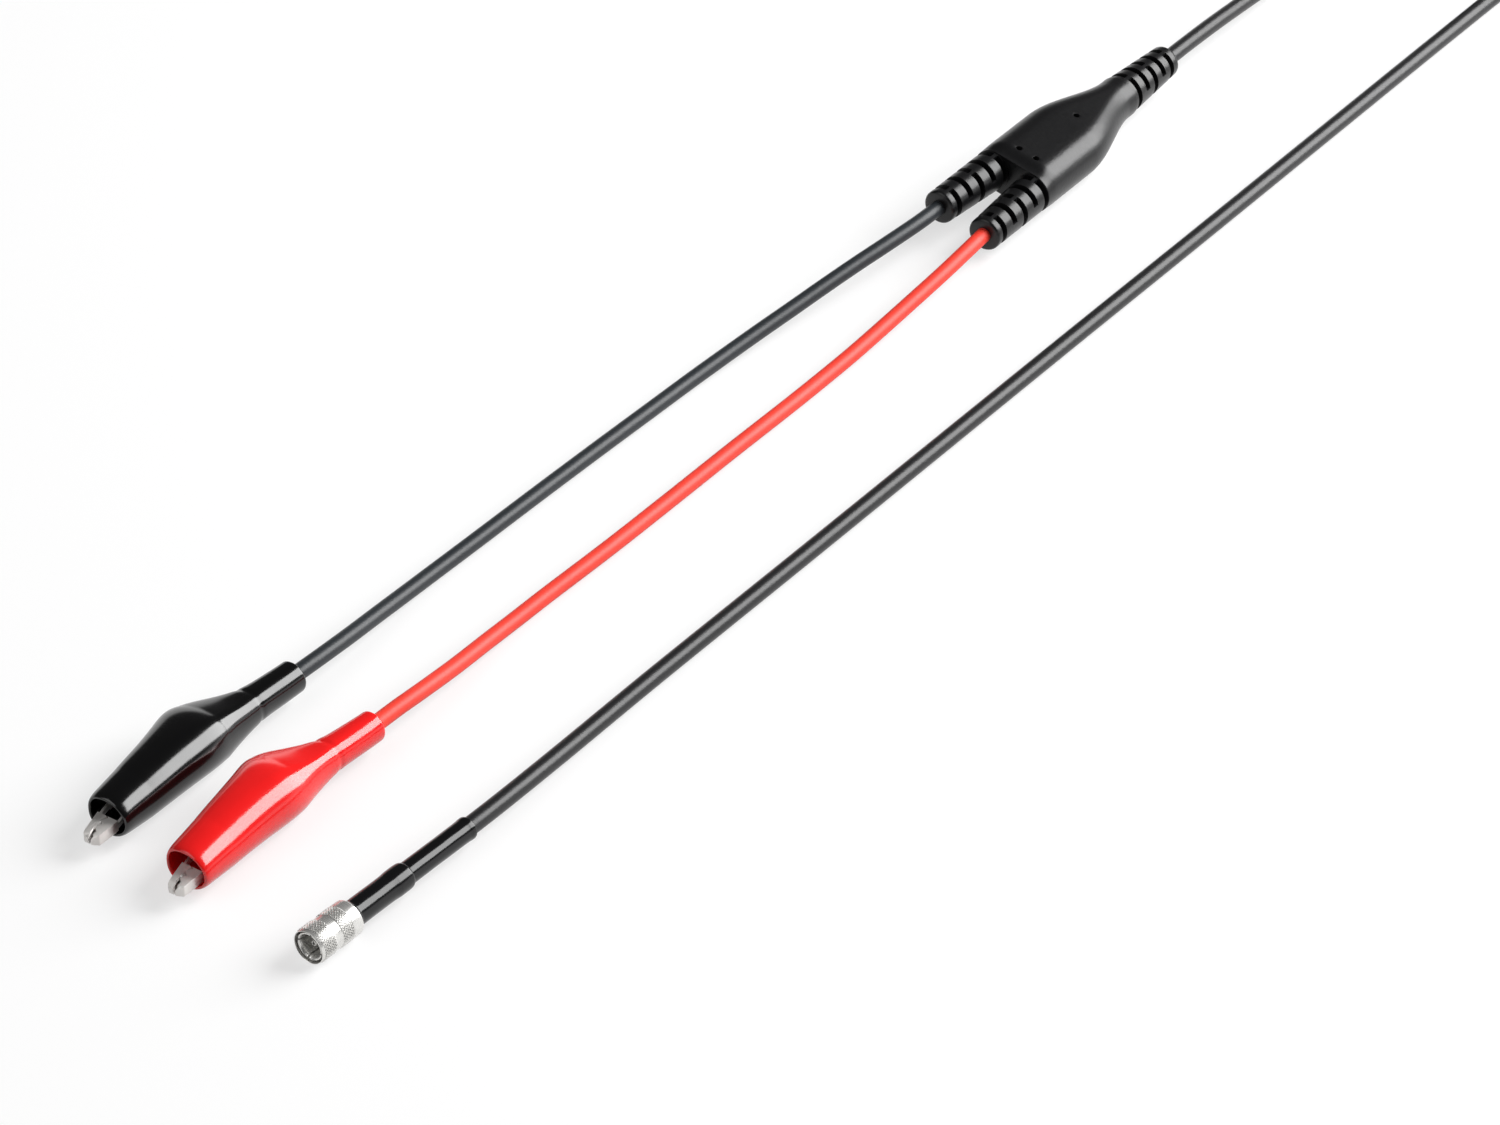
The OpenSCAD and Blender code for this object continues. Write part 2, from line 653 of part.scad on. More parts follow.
// Outline of the fixed jaw, seen along the hinge pin
module fixed_outline() {
    t = sheet_t;
    polygon(concat(
        [bite(0, -0.12)], teeth(-tooth_depth / 2, 0, -0.06),
        [bite_to + [0, -0.15], [plate_end, -fixed_jaw_y + t], [throat_end, -fixed_lever_y + t],
         [ear_start - 1.5, -fixed_lever_y + t], [pin_x - fixed_ear_r, pin_y - 0.9],
         [pin_x + fixed_ear_r, pin_y - 0.9], [ear_end, -fixed_lever_y + t],
         [lever_turn, -fixed_lever_y + t], [crimp_x, -crimp_r + t], [crimp_end, -crimp_r + t],
         [crimp_end, -crimp_r], [crimp_x, -crimp_r], [lever_turn, -fixed_lever_y],
         [throat_end, -fixed_lever_y], [plate_end, -fixed_jaw_y], [nose_x + 1, -fixed_jaw_y],
         [nose_x + 0.3, -fixed_jaw_y + 0.45], [nose_x, -fixed_jaw_y + 0.85]]
    ));
    translate([pin_x, pin_y]) circle(r = fixed_ear_r);
}

// Space inside the fixed jaw's channel, open towards the moving jaw
module fixed_hollow() {
    t = sheet_t;
    polygon([[nose_x + nose_tip, 4], [nose_x + nose_tip, -fixed_jaw_y + t + 0.4], [nose_x + 1.1, -fixed_jaw_y + t],
             [plate_end, -fixed_jaw_y + t], [throat_end, -fixed_lever_y + t], [crimp_end, -fixed_lever_y + t],
             [crimp_end, 4]]);
}

// Outline of the moving jaw, seen along the hinge pin
module moving_outline() {
    t = sheet_t;
    ear_from = pin_x - 3.5;
    polygon(concat(
        [bite(0, 0.12)], teeth(tooth_depth / 2, 0.05, 0.06),
        [bite_to + [0, 0.15], [plate_end, lever_y(plate_end) - t], [ear_from, lever_y(ear_from) - t],
         [pin_x - moving_ear_r, pin_y], [pin_x + moving_ear_r, pin_y],
         [ear_end, lever_y(ear_end) - t], [lever_end, lever_reach - t], [lever_end, lever_reach],
         [plate_end, lever_y(plate_end)], [nose_x + 0.4, -0.1], [nose_x, -0.6]]
    ));
    translate([pin_x, pin_y]) circle(r = moving_ear_r);
}

// Space inside the moving jaw's channel, open towards the fixed jaw
module moving_hollow() {
    t = sheet_t;
    polygon([[nose_x + nose_tip, -4], [nose_x + nose_tip, -0.1 - t], [plate_end, lever_y(plate_end) - t],
             [lever_end + 1, lever_y(lever_end + 1) - t], [lever_end + 1, -4]]);
}

// V notch where the bent ends of the two jaws meet at the nose
module nose_notch() {
    translate([nose_x - 1, bite_from[1], -plate_half_h + 0.35]) rotate([90, 0, 90])
        linear_extrude(height = 1.7) polygon([[0, 0], [0.45, 1.6], [-0.45, 1.6]]);
}

// Upright slab whose half height follows a list of [x, half height] points
module height_slab(profile, w) {
    upper = [for (p = profile) [p[0], p[1]]];
    lower = [for (i = [len(profile) - 1:-1:0]) [profile[i][0], -profile[i][1]]];
    rotate([90, 0, 0]) linear_extrude(height = 2 * w, center = true) polygon(concat(upper, lower));
}

// Channel bent from sheet: an outline seen along the pin, cut to a height and hollowed
module stamped(height_profile, inner_profile) {
    depth = 6 * ear_half_h;
    difference() {
        intersection() {
            linear_extrude(height = depth, center = true) children(0);
            height_slab(height_profile, depth);
        }
        intersection() {
            linear_extrude(height = depth, center = true) children(1);
            height_slab(inner_profile, depth);
        }
    }
}

// Half heights of a jaw from its nose to its throat
NOSE_HEIGHTS = [
    [nose_x, plate_half_h - 0.4], [nose_x + 0.9, plate_half_h],
    [plate_end, plate_half_h], [plate_end + 0.05, throat_half_h], [throat_end, throat_half_h]
];

// Half heights of the space between a jaw's flanges
function inner_heights(ears) = [
    [nose_x + nose_tip, plate_half_h - sheet_t], [throat_end, plate_half_h - sheet_t],
    [ear_start + 0.3, ears], [ear_end, ears]
];

module fixed_jaw() {
    difference() {
        union() {
            stamped(
                concat(NOSE_HEIGHTS, [[ear_start, ear_half_h], [ear_end, ear_half_h], [ear_end + 1.5, lever_half_h],
                    [lever_turn - 1, lever_half_h], [crimp_x, crimp_r], [crimp_end, crimp_r]]),
                inner_heights(inner_half_h)
            ) { fixed_outline(); fixed_hollow(); }
            rod(crimp_x, crimp_end, crimp_r);
        }
        nose_notch();
        rod(crimp_x - 1, crimp_end + 1, strand_d / 2);
        translate([pin_x, pin_y, 0]) cylinder(d = pin_d + 2 * grip, h = 4 * ear_half_h, center = true);
    }
}

module moving_jaw() {
    difference() {
        stamped(
            concat(NOSE_HEIGHTS, [[ear_start, moving_half_h], [ear_end, moving_half_h],
                [ear_end + 2, lever_half_h], [lever_end - 1, lever_half_h], [lever_end, lever_half_h - 0.7]]),
            inner_heights(spring_half_h)
        ) { moving_outline(); moving_hollow(); }
        nose_notch();
        translate([pin_x, pin_y, 0]) cylinder(d = pin_d + 2 * running, h = 4 * ear_half_h, center = true);
    }
}

module hinge_pin() {
    head_t = 0.25;
    translate([pin_x, pin_y, 0]) {
        cylinder(d = pin_d, h = 2 * ear_half_h, center = true);
        for (z = [-ear_half_h - head_t, ear_half_h])
            translate([0, 0, z]) cylinder(d = pin_d + 0.9, h = head_t);
    }
}

// Torsion spring wound round the hinge pin: each leg leaves the winding along its tangent
module jaw_spring() {
    turns = 5;
    steps = 12;
    r = jaw_wire_d / 2;
    coil_mean = pin_d / 2 + r + 0.12;
    half = spring_half_h - r - running;
    leg_x = 5.5;
    moving_y = lever_y(pin_x + leg_x) - sheet_t - 2 * r - 0.1 - pin_y;
    fixed_y = -fixed_lever_y + sheet_t + 2 * r + 0.1 - pin_y;
    from = atan2(moving_y, leg_x) + acos(coil_mean / norm([leg_x, moving_y]));
    to = atan2(fixed_y, leg_x) - acos(coil_mean / norm([leg_x, fixed_y])) + 360 * turns;
    count = ceil((to - from) / 360 * steps);
    winding = [for (i = [0:count]) let (a = mix(from, to, i / count))
        [coil_mean * cos(a), coil_mean * sin(a), mix(half, -half, i / count)]];
    translate([pin_x, pin_y, 0])
        sweep(concat([[leg_x, moving_y, half]], winding, [[leg_x, fixed_y, -half]]), r, WIRE_SIDES);
}

// A boot's section x behind its mouth: reach on the open side, on the fixed side and upwards,
// and the exponent that squares its corners
function boot_stations() = [
    [0, mouth_r - 0.2, mouth_r - 0.2, mouth_r - 0.2, 2],
    [0.5, mouth_r, mouth_r, mouth_r, 2],
    [3, mix(mouth_r, boot_open_side, 0.04), mouth_r, mouth_r + 0.03, 2.1],
    [7, mix(mouth_r, boot_open_side, 0.18), boot_fixed_side, boot_half_h, 2.5],
    [12, mix(mouth_r, boot_open_side, 0.4), boot_fixed_side - 0.1, boot_half_h, 2.6],
    [18, mix(mouth_r, boot_open_side, 0.68), boot_fixed_side - 0.1, boot_half_h, 2.6],
    [21.5, mix(mouth_r, boot_open_side, 0.87), boot_fixed_side, boot_half_h, 2.7],
    [24, boot_open_side, boot_fixed_side, boot_half_h - 0.1, 2.7],
    [25.5, mix(tail_r, boot_open_side, 0.95), boot_fixed_side - 0.3, boot_half_h - 0.25, 2.6],
    [28, mix(tail_r, boot_open_side, 0.69), mix(tail_r, boot_fixed_side, 0.3), mix(tail_r, boot_half_h, 0.65), 2.5],
    [31, mix(tail_r, boot_open_side, 0.42), tail_r - 0.1, mix(tail_r, boot_half_h, 0.35), 2.3],
    [33.5, mix(tail_r, boot_open_side, 0.2), tail_r - 0.2, mix(tail_r, boot_half_h, 0.18), 2.1],
    [36, mix(tail_r, boot_open_side, 0.09), tail_r - 0.2, mix(tail_r, boot_half_h, 0.07), 2],
    [40, tail_r + 0.1, tail_r, tail_r, 2],
    [boot_len - 0.4, tail_r, tail_r, tail_r, 2],
    [boot_len, tail_r - 0.35, tail_r - 0.35, tail_r - 0.35, 2]
];

// Ring round the boot at a station, drawn in by the wall w
function boot_ring(x, s, w) = [for (a = [0:LOFT_STEP:360 - LOFT_STEP]) let (
    side = cos(a) >= 0 ? s[1] : s[2],
    e = 2 / s[4]
) [x, (side - w) * signed_power(cos(a), e), (s[3] - w) * signed_power(sin(a), e)]];

module boot() {
    stations = boot_stations();
    bore_from = 34;
    inside = [for (s = stations) if (s[0] <= bore_from) s];
    difference() {
        skin([for (s = stations) boot_ring(s[0], s, 0)]);
        skin(concat(
            [boot_ring(-1, stations[1], boot_wall)],
            [for (s = inside) boot_ring(max(s[0], eps), s[0] == 0 ? stations[1] : s, boot_wall)],
            [boot_ring(bore_from + 1.5, [0, 1, 1, 1, 2], 1 - lead_d / 2 - 0.12)],
            [boot_ring(boot_len + 1, [0, 1, 1, 1, 2], 1 - lead_d / 2 - 0.12)]
        ));
    }
}

module clip_strands() {
    rod(crimp_x, clip_lead_x, strand_d / 2);
}

module black_fixed_jaw() { color(NICKEL) at_black_clip() fixed_jaw(); }
module black_moving_jaw() { color(NICKEL) at_black_clip() moving_jaw(); }
module black_hinge_pin() { color(NICKEL) at_black_clip() hinge_pin(); }
module black_jaw_spring() { color(NICKEL) at_black_clip() jaw_spring(); }
module black_boot() { color(GLOSS_BLACK) at_black_boot() boot(); }
module black_clip_strands() { color(COPPER) at_black_clip() clip_strands(); }
module red_fixed_jaw() { color(NICKEL) at_red_clip() fixed_jaw(); }
module red_moving_jaw() { color(NICKEL) at_red_clip() moving_jaw(); }
module red_hinge_pin() { color(NICKEL) at_red_clip() hinge_pin(); }
module red_jaw_spring() { color(NICKEL) at_red_clip() jaw_spring(); }
module red_boot() { color(BOOT_RED) at_red_boot() boot(); }
module red_clip_strands() { color(COPPER) at_red_clip() clip_strands(); }

// ---------- Cables ----------

coil_half_w = coil_columns * coax_d / 2;
coil_h = coil_layers * coax_d;
coil_base = tie_t + 0.1;
tie_gap = 0.05;

module coax_run() {
    color(COAX_GREY) sweep(COAX_RUN_ROUTE, coax_d / 2, TUBE_SIDES);
}

module coax_tail() {
    color(COAX_GREY) sweep(COAX_TAIL_ROUTE, coax_d / 2, TUBE_SIDES);
}

module coax_coil() {
    bevel = coax_d * 0.3;
    color(COAX_GREY) translate([COIL_AT[0], COIL_AT[1], coil_base]) rotate_extrude()
        translate([coil_r, 0]) polygon([
            [-coil_half_w + bevel, 0], [coil_half_w - bevel, 0], [coil_half_w, bevel],
            [coil_half_w, coil_h - bevel], [coil_half_w - bevel, coil_h], [-coil_half_w + bevel, coil_h],
            [-coil_half_w, coil_h - bevel], [-coil_half_w, bevel]
        ]);
}

module coil_tie() {
    w = coil_half_w + tie_gap;
    arc = tie_w / coil_r * 180 / PI;
    color(RUBBER_BLACK) translate([COIL_AT[0], COIL_AT[1], coil_base]) rotate([0, 0, -arc / 2])
        rotate_extrude(angle = arc) translate([coil_r, 0]) difference() {
            translate([-w - tie_t, -tie_gap - tie_t]) square([2 * (w + tie_t), coil_h + 2 * (tie_gap + tie_t)]);
            translate([-w, -tie_gap]) square([2 * w, coil_h + 2 * tie_gap]);
        }
}

module black_lead() {
    color(LEAD_GREY) sweep(BLACK_ROUTE, lead_d / 2, TUBE_SIDES);
}

module red_lead() {
    color(LEAD_RED) sweep(RED_ROUTE, lead_d / 2, TUBE_SIDES);
}

coupling_sleeve();
plug_body();
plug_insulator();
centre_contact();
sleeve_spring();
retaining_ring();
crimp_ferrule();
plug_braid();
plug_dielectric();
plug_core();
front_heat_shrink();
rear_heat_shrink();
junction_overmould();
junction_inner_mould();
ground_splice();
signal_splice();
ground_strands();
signal_strands();
braid_pigtail();
junction_dielectric();
signal_core();
black_fixed_jaw();
black_moving_jaw();
black_hinge_pin();
black_jaw_spring();
black_boot();
black_clip_strands();
red_fixed_jaw();
red_moving_jaw();
red_hinge_pin();
red_jaw_spring();
red_boot();
red_clip_strands();
coax_run();
coax_coil();
coax_tail();
coil_tie();
black_lead();
red_lead();
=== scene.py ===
"""Two-wire test lead: a coaxial cable with a small push-on plug, moulded into a Y junction
that feeds a black and a red alligator clip. Metres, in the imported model's frame."""

import math

import bmesh
import bpy
import numpy as np
from mathutils import Matrix, Vector


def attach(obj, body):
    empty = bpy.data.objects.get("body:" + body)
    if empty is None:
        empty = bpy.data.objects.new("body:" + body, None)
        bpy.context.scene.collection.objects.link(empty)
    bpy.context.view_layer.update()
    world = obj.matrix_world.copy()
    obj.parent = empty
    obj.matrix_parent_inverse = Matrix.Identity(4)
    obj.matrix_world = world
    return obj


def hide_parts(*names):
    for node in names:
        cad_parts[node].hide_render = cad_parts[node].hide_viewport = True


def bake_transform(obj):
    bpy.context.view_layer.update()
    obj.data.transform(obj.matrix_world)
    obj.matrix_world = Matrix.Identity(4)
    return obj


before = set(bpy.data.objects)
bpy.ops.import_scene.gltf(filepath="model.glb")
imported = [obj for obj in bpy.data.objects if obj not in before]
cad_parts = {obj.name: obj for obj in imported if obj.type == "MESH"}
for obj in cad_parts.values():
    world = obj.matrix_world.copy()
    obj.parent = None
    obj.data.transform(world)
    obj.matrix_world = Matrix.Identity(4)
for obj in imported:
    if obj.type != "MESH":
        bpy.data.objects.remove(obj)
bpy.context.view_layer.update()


# ---------- Camera ----------
# A long lens from above the clips, looking down 35 degrees along the lead.
# The coil lies beyond the frame's right edge.
MM = 0.001
eye = Vector((-608.9, -425.9, 499.2)) * MM
look_at = Vector((-23.5, -19.0, 0.0)) * MM
view = bpy.data.cameras.new("studio_camera")
view.lens = 128.88
view.sensor_width = 36
view.clip_start = 0.05
view.clip_end = 20
camera = bpy.data.objects.new("studio_camera", view)
camera.location = eye
camera.rotation_euler = (look_at - eye).to_track_quat("-Z", "Y").to_euler()
bpy.context.scene.collection.objects.link(camera)
bpy.context.scene.camera = camera


# ---------- Coaxial cable ----------
# One length of 3 mm coax from the junction's inlet to the plug: the run on the table, and 7.5
# turns wound on themselves for storage. Its jacket is extruded PVC with a faint die grain.
def distances(line):
    """How far along the line each of its points is."""
    steps = np.linalg.norm(np.diff(line, axis=0), axis=1)
    return np.concatenate([[0], np.cumsum(steps)])


def smooth_line(points, spacing):
    """A centripetal Catmull-Rom line through points, resampled to even spacing."""

    def between(a, b, from_t, to_t, t):
        return (to_t - t) / (to_t - from_t) * a + (t - from_t) / (to_t - from_t) * b

    p = np.array(points, float)
    p = np.vstack([2 * p[0] - p[1], p, 2 * p[-1] - p[-2]])
    dense = []
    for i in range(1, len(p) - 2):
        p0, p1, p2, p3 = p[i - 1 : i + 3]
        t0 = 0.0
        t1 = t0 + np.linalg.norm(p1 - p0) ** 0.5
        t2 = t1 + np.linalg.norm(p2 - p1) ** 0.5
        t3 = t2 + np.linalg.norm(p3 - p2) ** 0.5
        for t in np.linspace(t1, t2, 24, endpoint=False):
            a1 = between(p0, p1, t0, t1, t)
            a2 = between(p1, p2, t1, t2, t)
            a3 = between(p2, p3, t2, t3, t)
            b1 = between(a1, a2, t0, t2, t)
            b2 = between(a2, a3, t1, t3, t)
            dense.append(between(b1, b2, t1, t2, t))
    dense.append(p[-2])
    dense = np.array(dense)
    along = distances(dense)
    count = max(2, int(round(along[-1] / spacing)))
    wanted = np.linspace(0, along[-1], count + 1)
    return np.stack([np.interp(wanted, along, dense[:, k]) for k in range(3)], 1)


def put_in_scene(name, data):
    piece = bpy.data.objects.new(name, data)
    bpy.context.scene.collection.objects.link(piece)
    return piece


def wrapped(rows, around, last_meets_first=False):
    """Quads between rows of points. Each row closes on itself, and the last row may meet
    the first."""
    faces = []
    for i in range(rows if last_meets_first else rows - 1):
        k = (i + 1) % rows
        for j in range(around):
            m = (j + 1) % around
            faces.append((i * around + j, i * around + m, k * around + m, k * around + j))
    return faces


def capped(rows, around):
    """The same, with a flat face on the first row and on the last."""
    last = (rows - 1) * around
    ends = [tuple(range(around - 1, -1, -1)), tuple(last + j for j in range(around))]
    return wrapped(rows, around) + ends


def jacket(name, line, radius):
    """A round tube along line, closed at both ends."""
    sides = 24
    ahead = np.gradient(line, axis=0)
    ahead /= np.linalg.norm(ahead, axis=1)[:, None]
    turn = np.linspace(0, 2 * math.pi, sides, endpoint=False)[:, None]
    side = np.cross([0.0, 0.0, 1.0], ahead[0])
    points = []
    for middle, way in zip(line, ahead):
        side = side - way * (side @ way)
        side /= np.linalg.norm(side)
        ring = middle + radius * (np.cos(turn) * side + np.sin(turn) * np.cross(way, side))
        points += ring.tolist()
    faces = capped(len(line), sides)
    mesh = bpy.data.meshes.new(name)
    mesh.from_pydata(points, [], faces)
    mesh.polygons.foreach_set("use_smooth", [len(face) == 4 for face in faces])
    return put_in_scene(name, mesh)


def eased(u):
    u = min(1.0, max(0.0, u))
    return u * u * (3 - 2 * u)


coil_centre = (241.5, -11.5)


def coax_centreline():
    """Junction inlet, tail, coil and run, as the solids lie."""
    tail = [
        (140, 5.85, 5.47), (146.8, 5.85, 5.47), (155, 5.9, 5.4), (164, 6, 5.1), (174, 6.15, 4.5),
        (185, 6.45, 3.6), (196, 6.9, 2.8), (207, 7.35, 2.25), (218, 7.7, 2.1), (230, 7.95, 2.1),
    ]
    run = [
        (-127.7, -25.35, 3.05), (-108.1, -26.34, 3.05), (-101.5, -26.4, 2.85), (-92.5, -26.2, 2.4),
        (-82.5, -25.9, 1.9), (-70.5, -25.7, 1.6), (-58.5, -25.7, 1.5), (-18.5, -26.3, 1.5),
        (21.5, -26.8, 1.5), (61.5, -27.3, 1.5), (101.5, -27.9, 1.5), (141.5, -28.4, 1.5),
        (181.5, -28.9, 1.5), (201.5, -29.2, 1.5), (212.5, -29.6, 1.8), (222.5, -30.2, 2.9),
        (232.5, -30.8, 4.4),
    ]
    # Each turn's radius and height, outermost bottom turn first
    turns = [
        (19.5, 2.1), (16.5, 2.1), (13.5, 2.1), (13.5, 5.1), (13.5, 8.1), (16.5, 8.1), (16.5, 5.1),
        (19.5, 5.1),
    ]
    points_a_turn = 36
    coil = []
    for n, (r, z) in enumerate(turns):
        half_turn = n == len(turns) - 1
        next_r, next_z = (r, z) if half_turn else turns[n + 1]
        # The cable steps over to its next place in the last 38 to 44 degrees of the turn
        step_from = 1 - (44 - 3 * (n % 3)) / 360
        for i in range(points_a_turn // 2 if half_turn else points_a_turn):
            share = i / points_a_turn
            over = eased((share - step_from) / (1 - step_from))
            a = math.radians(90 - 360 * share)
            radius = r + (next_r - r) * over
            coil.append((
                coil_centre[0] + radius * math.cos(a), coil_centre[1] + radius * math.sin(a),
                z + (next_z - z) * over,
            ))
    last_r, last_z = turns[-1]
    coil.append((coil_centre[0], coil_centre[1] - last_r, last_z))
    return np.array(tail + coil + run[::-1]) * MM


def new_finish(name):
    """A material, its node tree, and the object coordinates that its patterns read."""
    finish = bpy.data.materials.new(name)
    finish.use_nodes = True
    tree = finish.node_tree
    return finish, tree, tree.nodes.new("ShaderNodeTexCoord").outputs["Object"]


def noise(tree, where, scale, detail):
    pattern = tree.nodes.new("ShaderNodeTexNoise")
    pattern.inputs["Scale"].default_value = scale
    pattern.inputs["Detail"].default_value = detail
    tree.links.new(where, pattern.inputs["Vector"])
    return pattern.outputs["Fac"]


def tint(tree, pattern, low_colour, high_colour, span=(0.3, 0.7)):
    """Colours the skin from one colour to the other as the pattern's value crosses span."""
    ramp = tree.nodes.new("ShaderNodeValToRGB")
    low, high = ramp.color_ramp.elements
    low.position, high.position = span
    low.color = [*low_colour, 1]
    high.color = [*high_colour, 1]
    tree.links.new(pattern, ramp.inputs["Fac"])
    tree.links.new(ramp.outputs["Color"], tree.nodes["Principled BSDF"].inputs["Base Color"])


def gloss(tree, pattern, smoothest, roughest):
    """Varies the skin's roughness with the pattern's value."""
    spread = tree.nodes.new("ShaderNodeMapRange")
    spread.inputs["To Min"].default_value = smoothest
    spread.inputs["To Max"].default_value = roughest
    tree.links.new(pattern, spread.inputs["Value"])
    tree.links.new(spread.outputs["Result"], tree.nodes["Principled BSDF"].inputs["Roughness"])


def relief(tree, pattern, depth, strength=1.0):
    """Raises the skin with the pattern's value, by depth in metres."""
    bump = tree.nodes.new("ShaderNodeBump")
    bump.inputs["Strength"].default_value = strength
    bump.inputs["Distance"].default_value = depth
    tree.links.new(pattern, bump.inputs["Height"])
    tree.links.new(bump.outputs["Normal"], tree.nodes["Principled BSDF"].inputs["Normal"])


def pvc(name, colour, roughness, grain_scale, grain_depth, ior=1.42):
    """Extruded or moulded PVC, rubber or silicone: an even colour with faint clouds, and a
    fine surface grain, its depth in metres."""
    finish, tree, where = new_finish(name)
    mottle = 0.06
    tint(
        tree, noise(tree, where, 90, 3),
        [c * (1 - mottle) for c in colour], [min(1, c * (1 + mottle)) for c in colour],
    )
    grain = noise(tree, where, grain_scale, 4)
    gloss(tree, grain, roughness - 0.05, roughness + 0.06)
    relief(tree, grain, grain_depth)
    tree.nodes["Principled BSDF"].inputs["IOR"].default_value = ior
    return finish


coax_line = smooth_line(coax_centreline(), 1.6 * MM)
coax = jacket("coax_cable", coax_line, 1.5 * MM)
coax.data.materials.append(pvc("coax_jacket_pvc", (0.014, 0.014, 0.015), 0.35, 2600, 0.00002))


# ---------- Coil tie ----------
# A hook-and-loop strap wrapped once round the eight strands of the coil at its far side.
# It lies snug, and its long edges are pulled in a little.
def strap_path(half_w, base, height, corner):
    """Rounded rectangle round the coil's section, as (radius offset, height) pairs."""
    steps = 6
    side, low, high = half_w - corner, base + corner, base + height - corner
    path = []
    for x, z, from_turn in ((side, high, 0), (-side, high, 90), (-side, low, 180), (side, low, 270)):
        for i in range(steps + 1):
            a = math.radians(from_turn + 90 * i / steps)
            path.append((x + corner * math.cos(a), z + corner * math.sin(a)))
    return path


def tidy_mesh(mesh, sharp):
    """Closes seams and poles, points the faces outwards and keeps edges over sharp degrees crisp."""
    bm = bmesh.new()
    bm.from_mesh(mesh)
    bmesh.ops.remove_doubles(bm, verts=bm.verts, dist=1e-7)
    bmesh.ops.dissolve_degenerate(bm, edges=bm.edges, dist=1e-8)
    bmesh.ops.recalc_face_normals(bm, faces=bm.faces)
    bm.to_mesh(mesh)
    bm.free()
    mesh.polygons.foreach_set("use_smooth", [True] * len(mesh.polygons))
    mesh.set_sharp_from_angle(angle=math.radians(sharp))


def new_piece(name, points, faces, sharp):
    mesh = bpy.data.meshes.new(name)
    mesh.from_pydata(points, [], faces)
    tidy_mesh(mesh, sharp)
    return put_in_scene(name, mesh)


def coil_strap():
    """The strap's band: an outer and an inner ring of points at each place across its width."""
    coil_r, coil_z = 16.5, 5.1
    half_w, base, height, corner = 4.55, 0.55, 9.1, 0.9
    width, thick, floor_gap = 6.0, 0.5, 0.02
    inner = strap_path(half_w, base, height, corner)
    outer = strap_path(half_w + thick, base - thick, height + 2 * thick, corner + thick)
    across = [-0.5, -0.49, -0.46, -0.2, 0.0, 0.2, 0.46, 0.49, 0.5]
    n = len(inner)
    points = []
    for share in across:
        a = share * width / coil_r
        edge_pull = 0.025 if abs(share) > 0.48 else 0.0
        for ring, shrink in ((outer, 1 - edge_pull), (inner, 1 + edge_pull)):
            for offset, z in ring:
                radius = coil_r + offset * shrink
                points.append((
                    (coil_centre[0] + radius * math.cos(a)) * MM,
                    (coil_centre[1] + radius * math.sin(a)) * MM,
                    max(floor_gap, coil_z + (z - coil_z) * shrink) * MM,
                ))
    faces = []
    last = 2 * (len(across) - 1) * n
    for j in range(n):
        k = (j + 1) % n
        for row in range(0, last, 2 * n):
            faces.append((row + j, row + k, row + 2 * n + k, row + 2 * n + j))
            faces.append((row + n + k, row + n + j, row + 3 * n + j, row + 3 * n + k))
        faces.append((j, n + j, n + k, k))
        faces.append((last + j, last + k, last + n + k, last + n + j))
    return new_piece("coil_strap", points, faces, sharp=180)


def woven_strap(name):
    finish, tree, where = new_finish(name)
    loops = tree.nodes.new("ShaderNodeTexVoronoi")
    loops.inputs["Scale"].default_value = 3200
    tree.links.new(where, loops.inputs["Vector"])
    tint(tree, loops.outputs["Distance"], (0.03, 0.03, 0.032), (0.008, 0.008, 0.009), (0, 1))
    relief(tree, loops.outputs["Distance"], 0.00012)
    tree.nodes["Principled BSDF"].inputs["Roughness"].default_value = 0.85
    return finish


strap = coil_strap()
strap.data.materials.append(woven_strap("hook_and_loop"))
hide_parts("coil_tie")
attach(strap, "lead")

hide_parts("coax_run", "coax_coil", "coax_tail")
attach(coax, "lead")


# ---------- Black and red leads ----------
# Single-core test wire in soft 2.75 mm jackets, black in satin PVC and red in matt silicone.
# Each lies on the table between the junction and the tail of its boot.
black_route = [
    (86, 10.35, 6.54), (77.4, 10.61, 6.61), (72, 10.75, 6.55), (64, 11.8, 6), (55.5, 13.3, 5.15),
    (47.5, 14.65, 4.25), (39.5, 15.9, 3.35), (31.5, 17.05, 2.6), (22.5, 18.1, 1.9),
    (13.5, 18.75, 1.55), (4.5, 19.1, 1.4), (-12.5, 19.5, 1.4), (-29.5, 19.8, 1.4),
    (-46.5, 20, 1.4), (-55.5, 20.1, 1.45), (-63.5, 19.9, 1.8), (-71.5, 19.4, 2.5),
    (-80.5, 18.7, 3.4), (-88.5, 18.4, 4), (-93.7, 18.41, 4.2), (-110.3, 18.7, 4.2),
]
red_route = [
    (86, 1.36, 4.4), (77.4, 1.09, 4.33), (72.5, 0.85, 4.15), (63.5, 0.6, 3.6), (54.5, 0.6, 2.95),
    (45.5, 0.6, 2.35), (35.5, 0.6, 1.8), (26.5, 0.7, 1.5), (17.5, 0.75, 1.4), (-0.5, 0.9, 1.4),
    (-17.5, 0.9, 1.4), (-34.5, 1, 1.4), (-51.5, 1.4, 1.4), (-59.5, 1.4, 1.5), (-67.5, 1.1, 2),
    (-76.5, 0.5, 2.8), (-85.5, 0.1, 3.7), (-91.5, 0.1, 4.1), (-96.5, 0.17, 4.2),
    (-113.1, 0.55, 4.2),
]
black_pvc = pvc("black_wire_pvc", (0.021, 0.025, 0.029), 0.42, 2400, 0.00002)
red_silicone = pvc("red_wire_silicone", (0.88, 0.052, 0.031), 0.48, 2400, 0.00002)
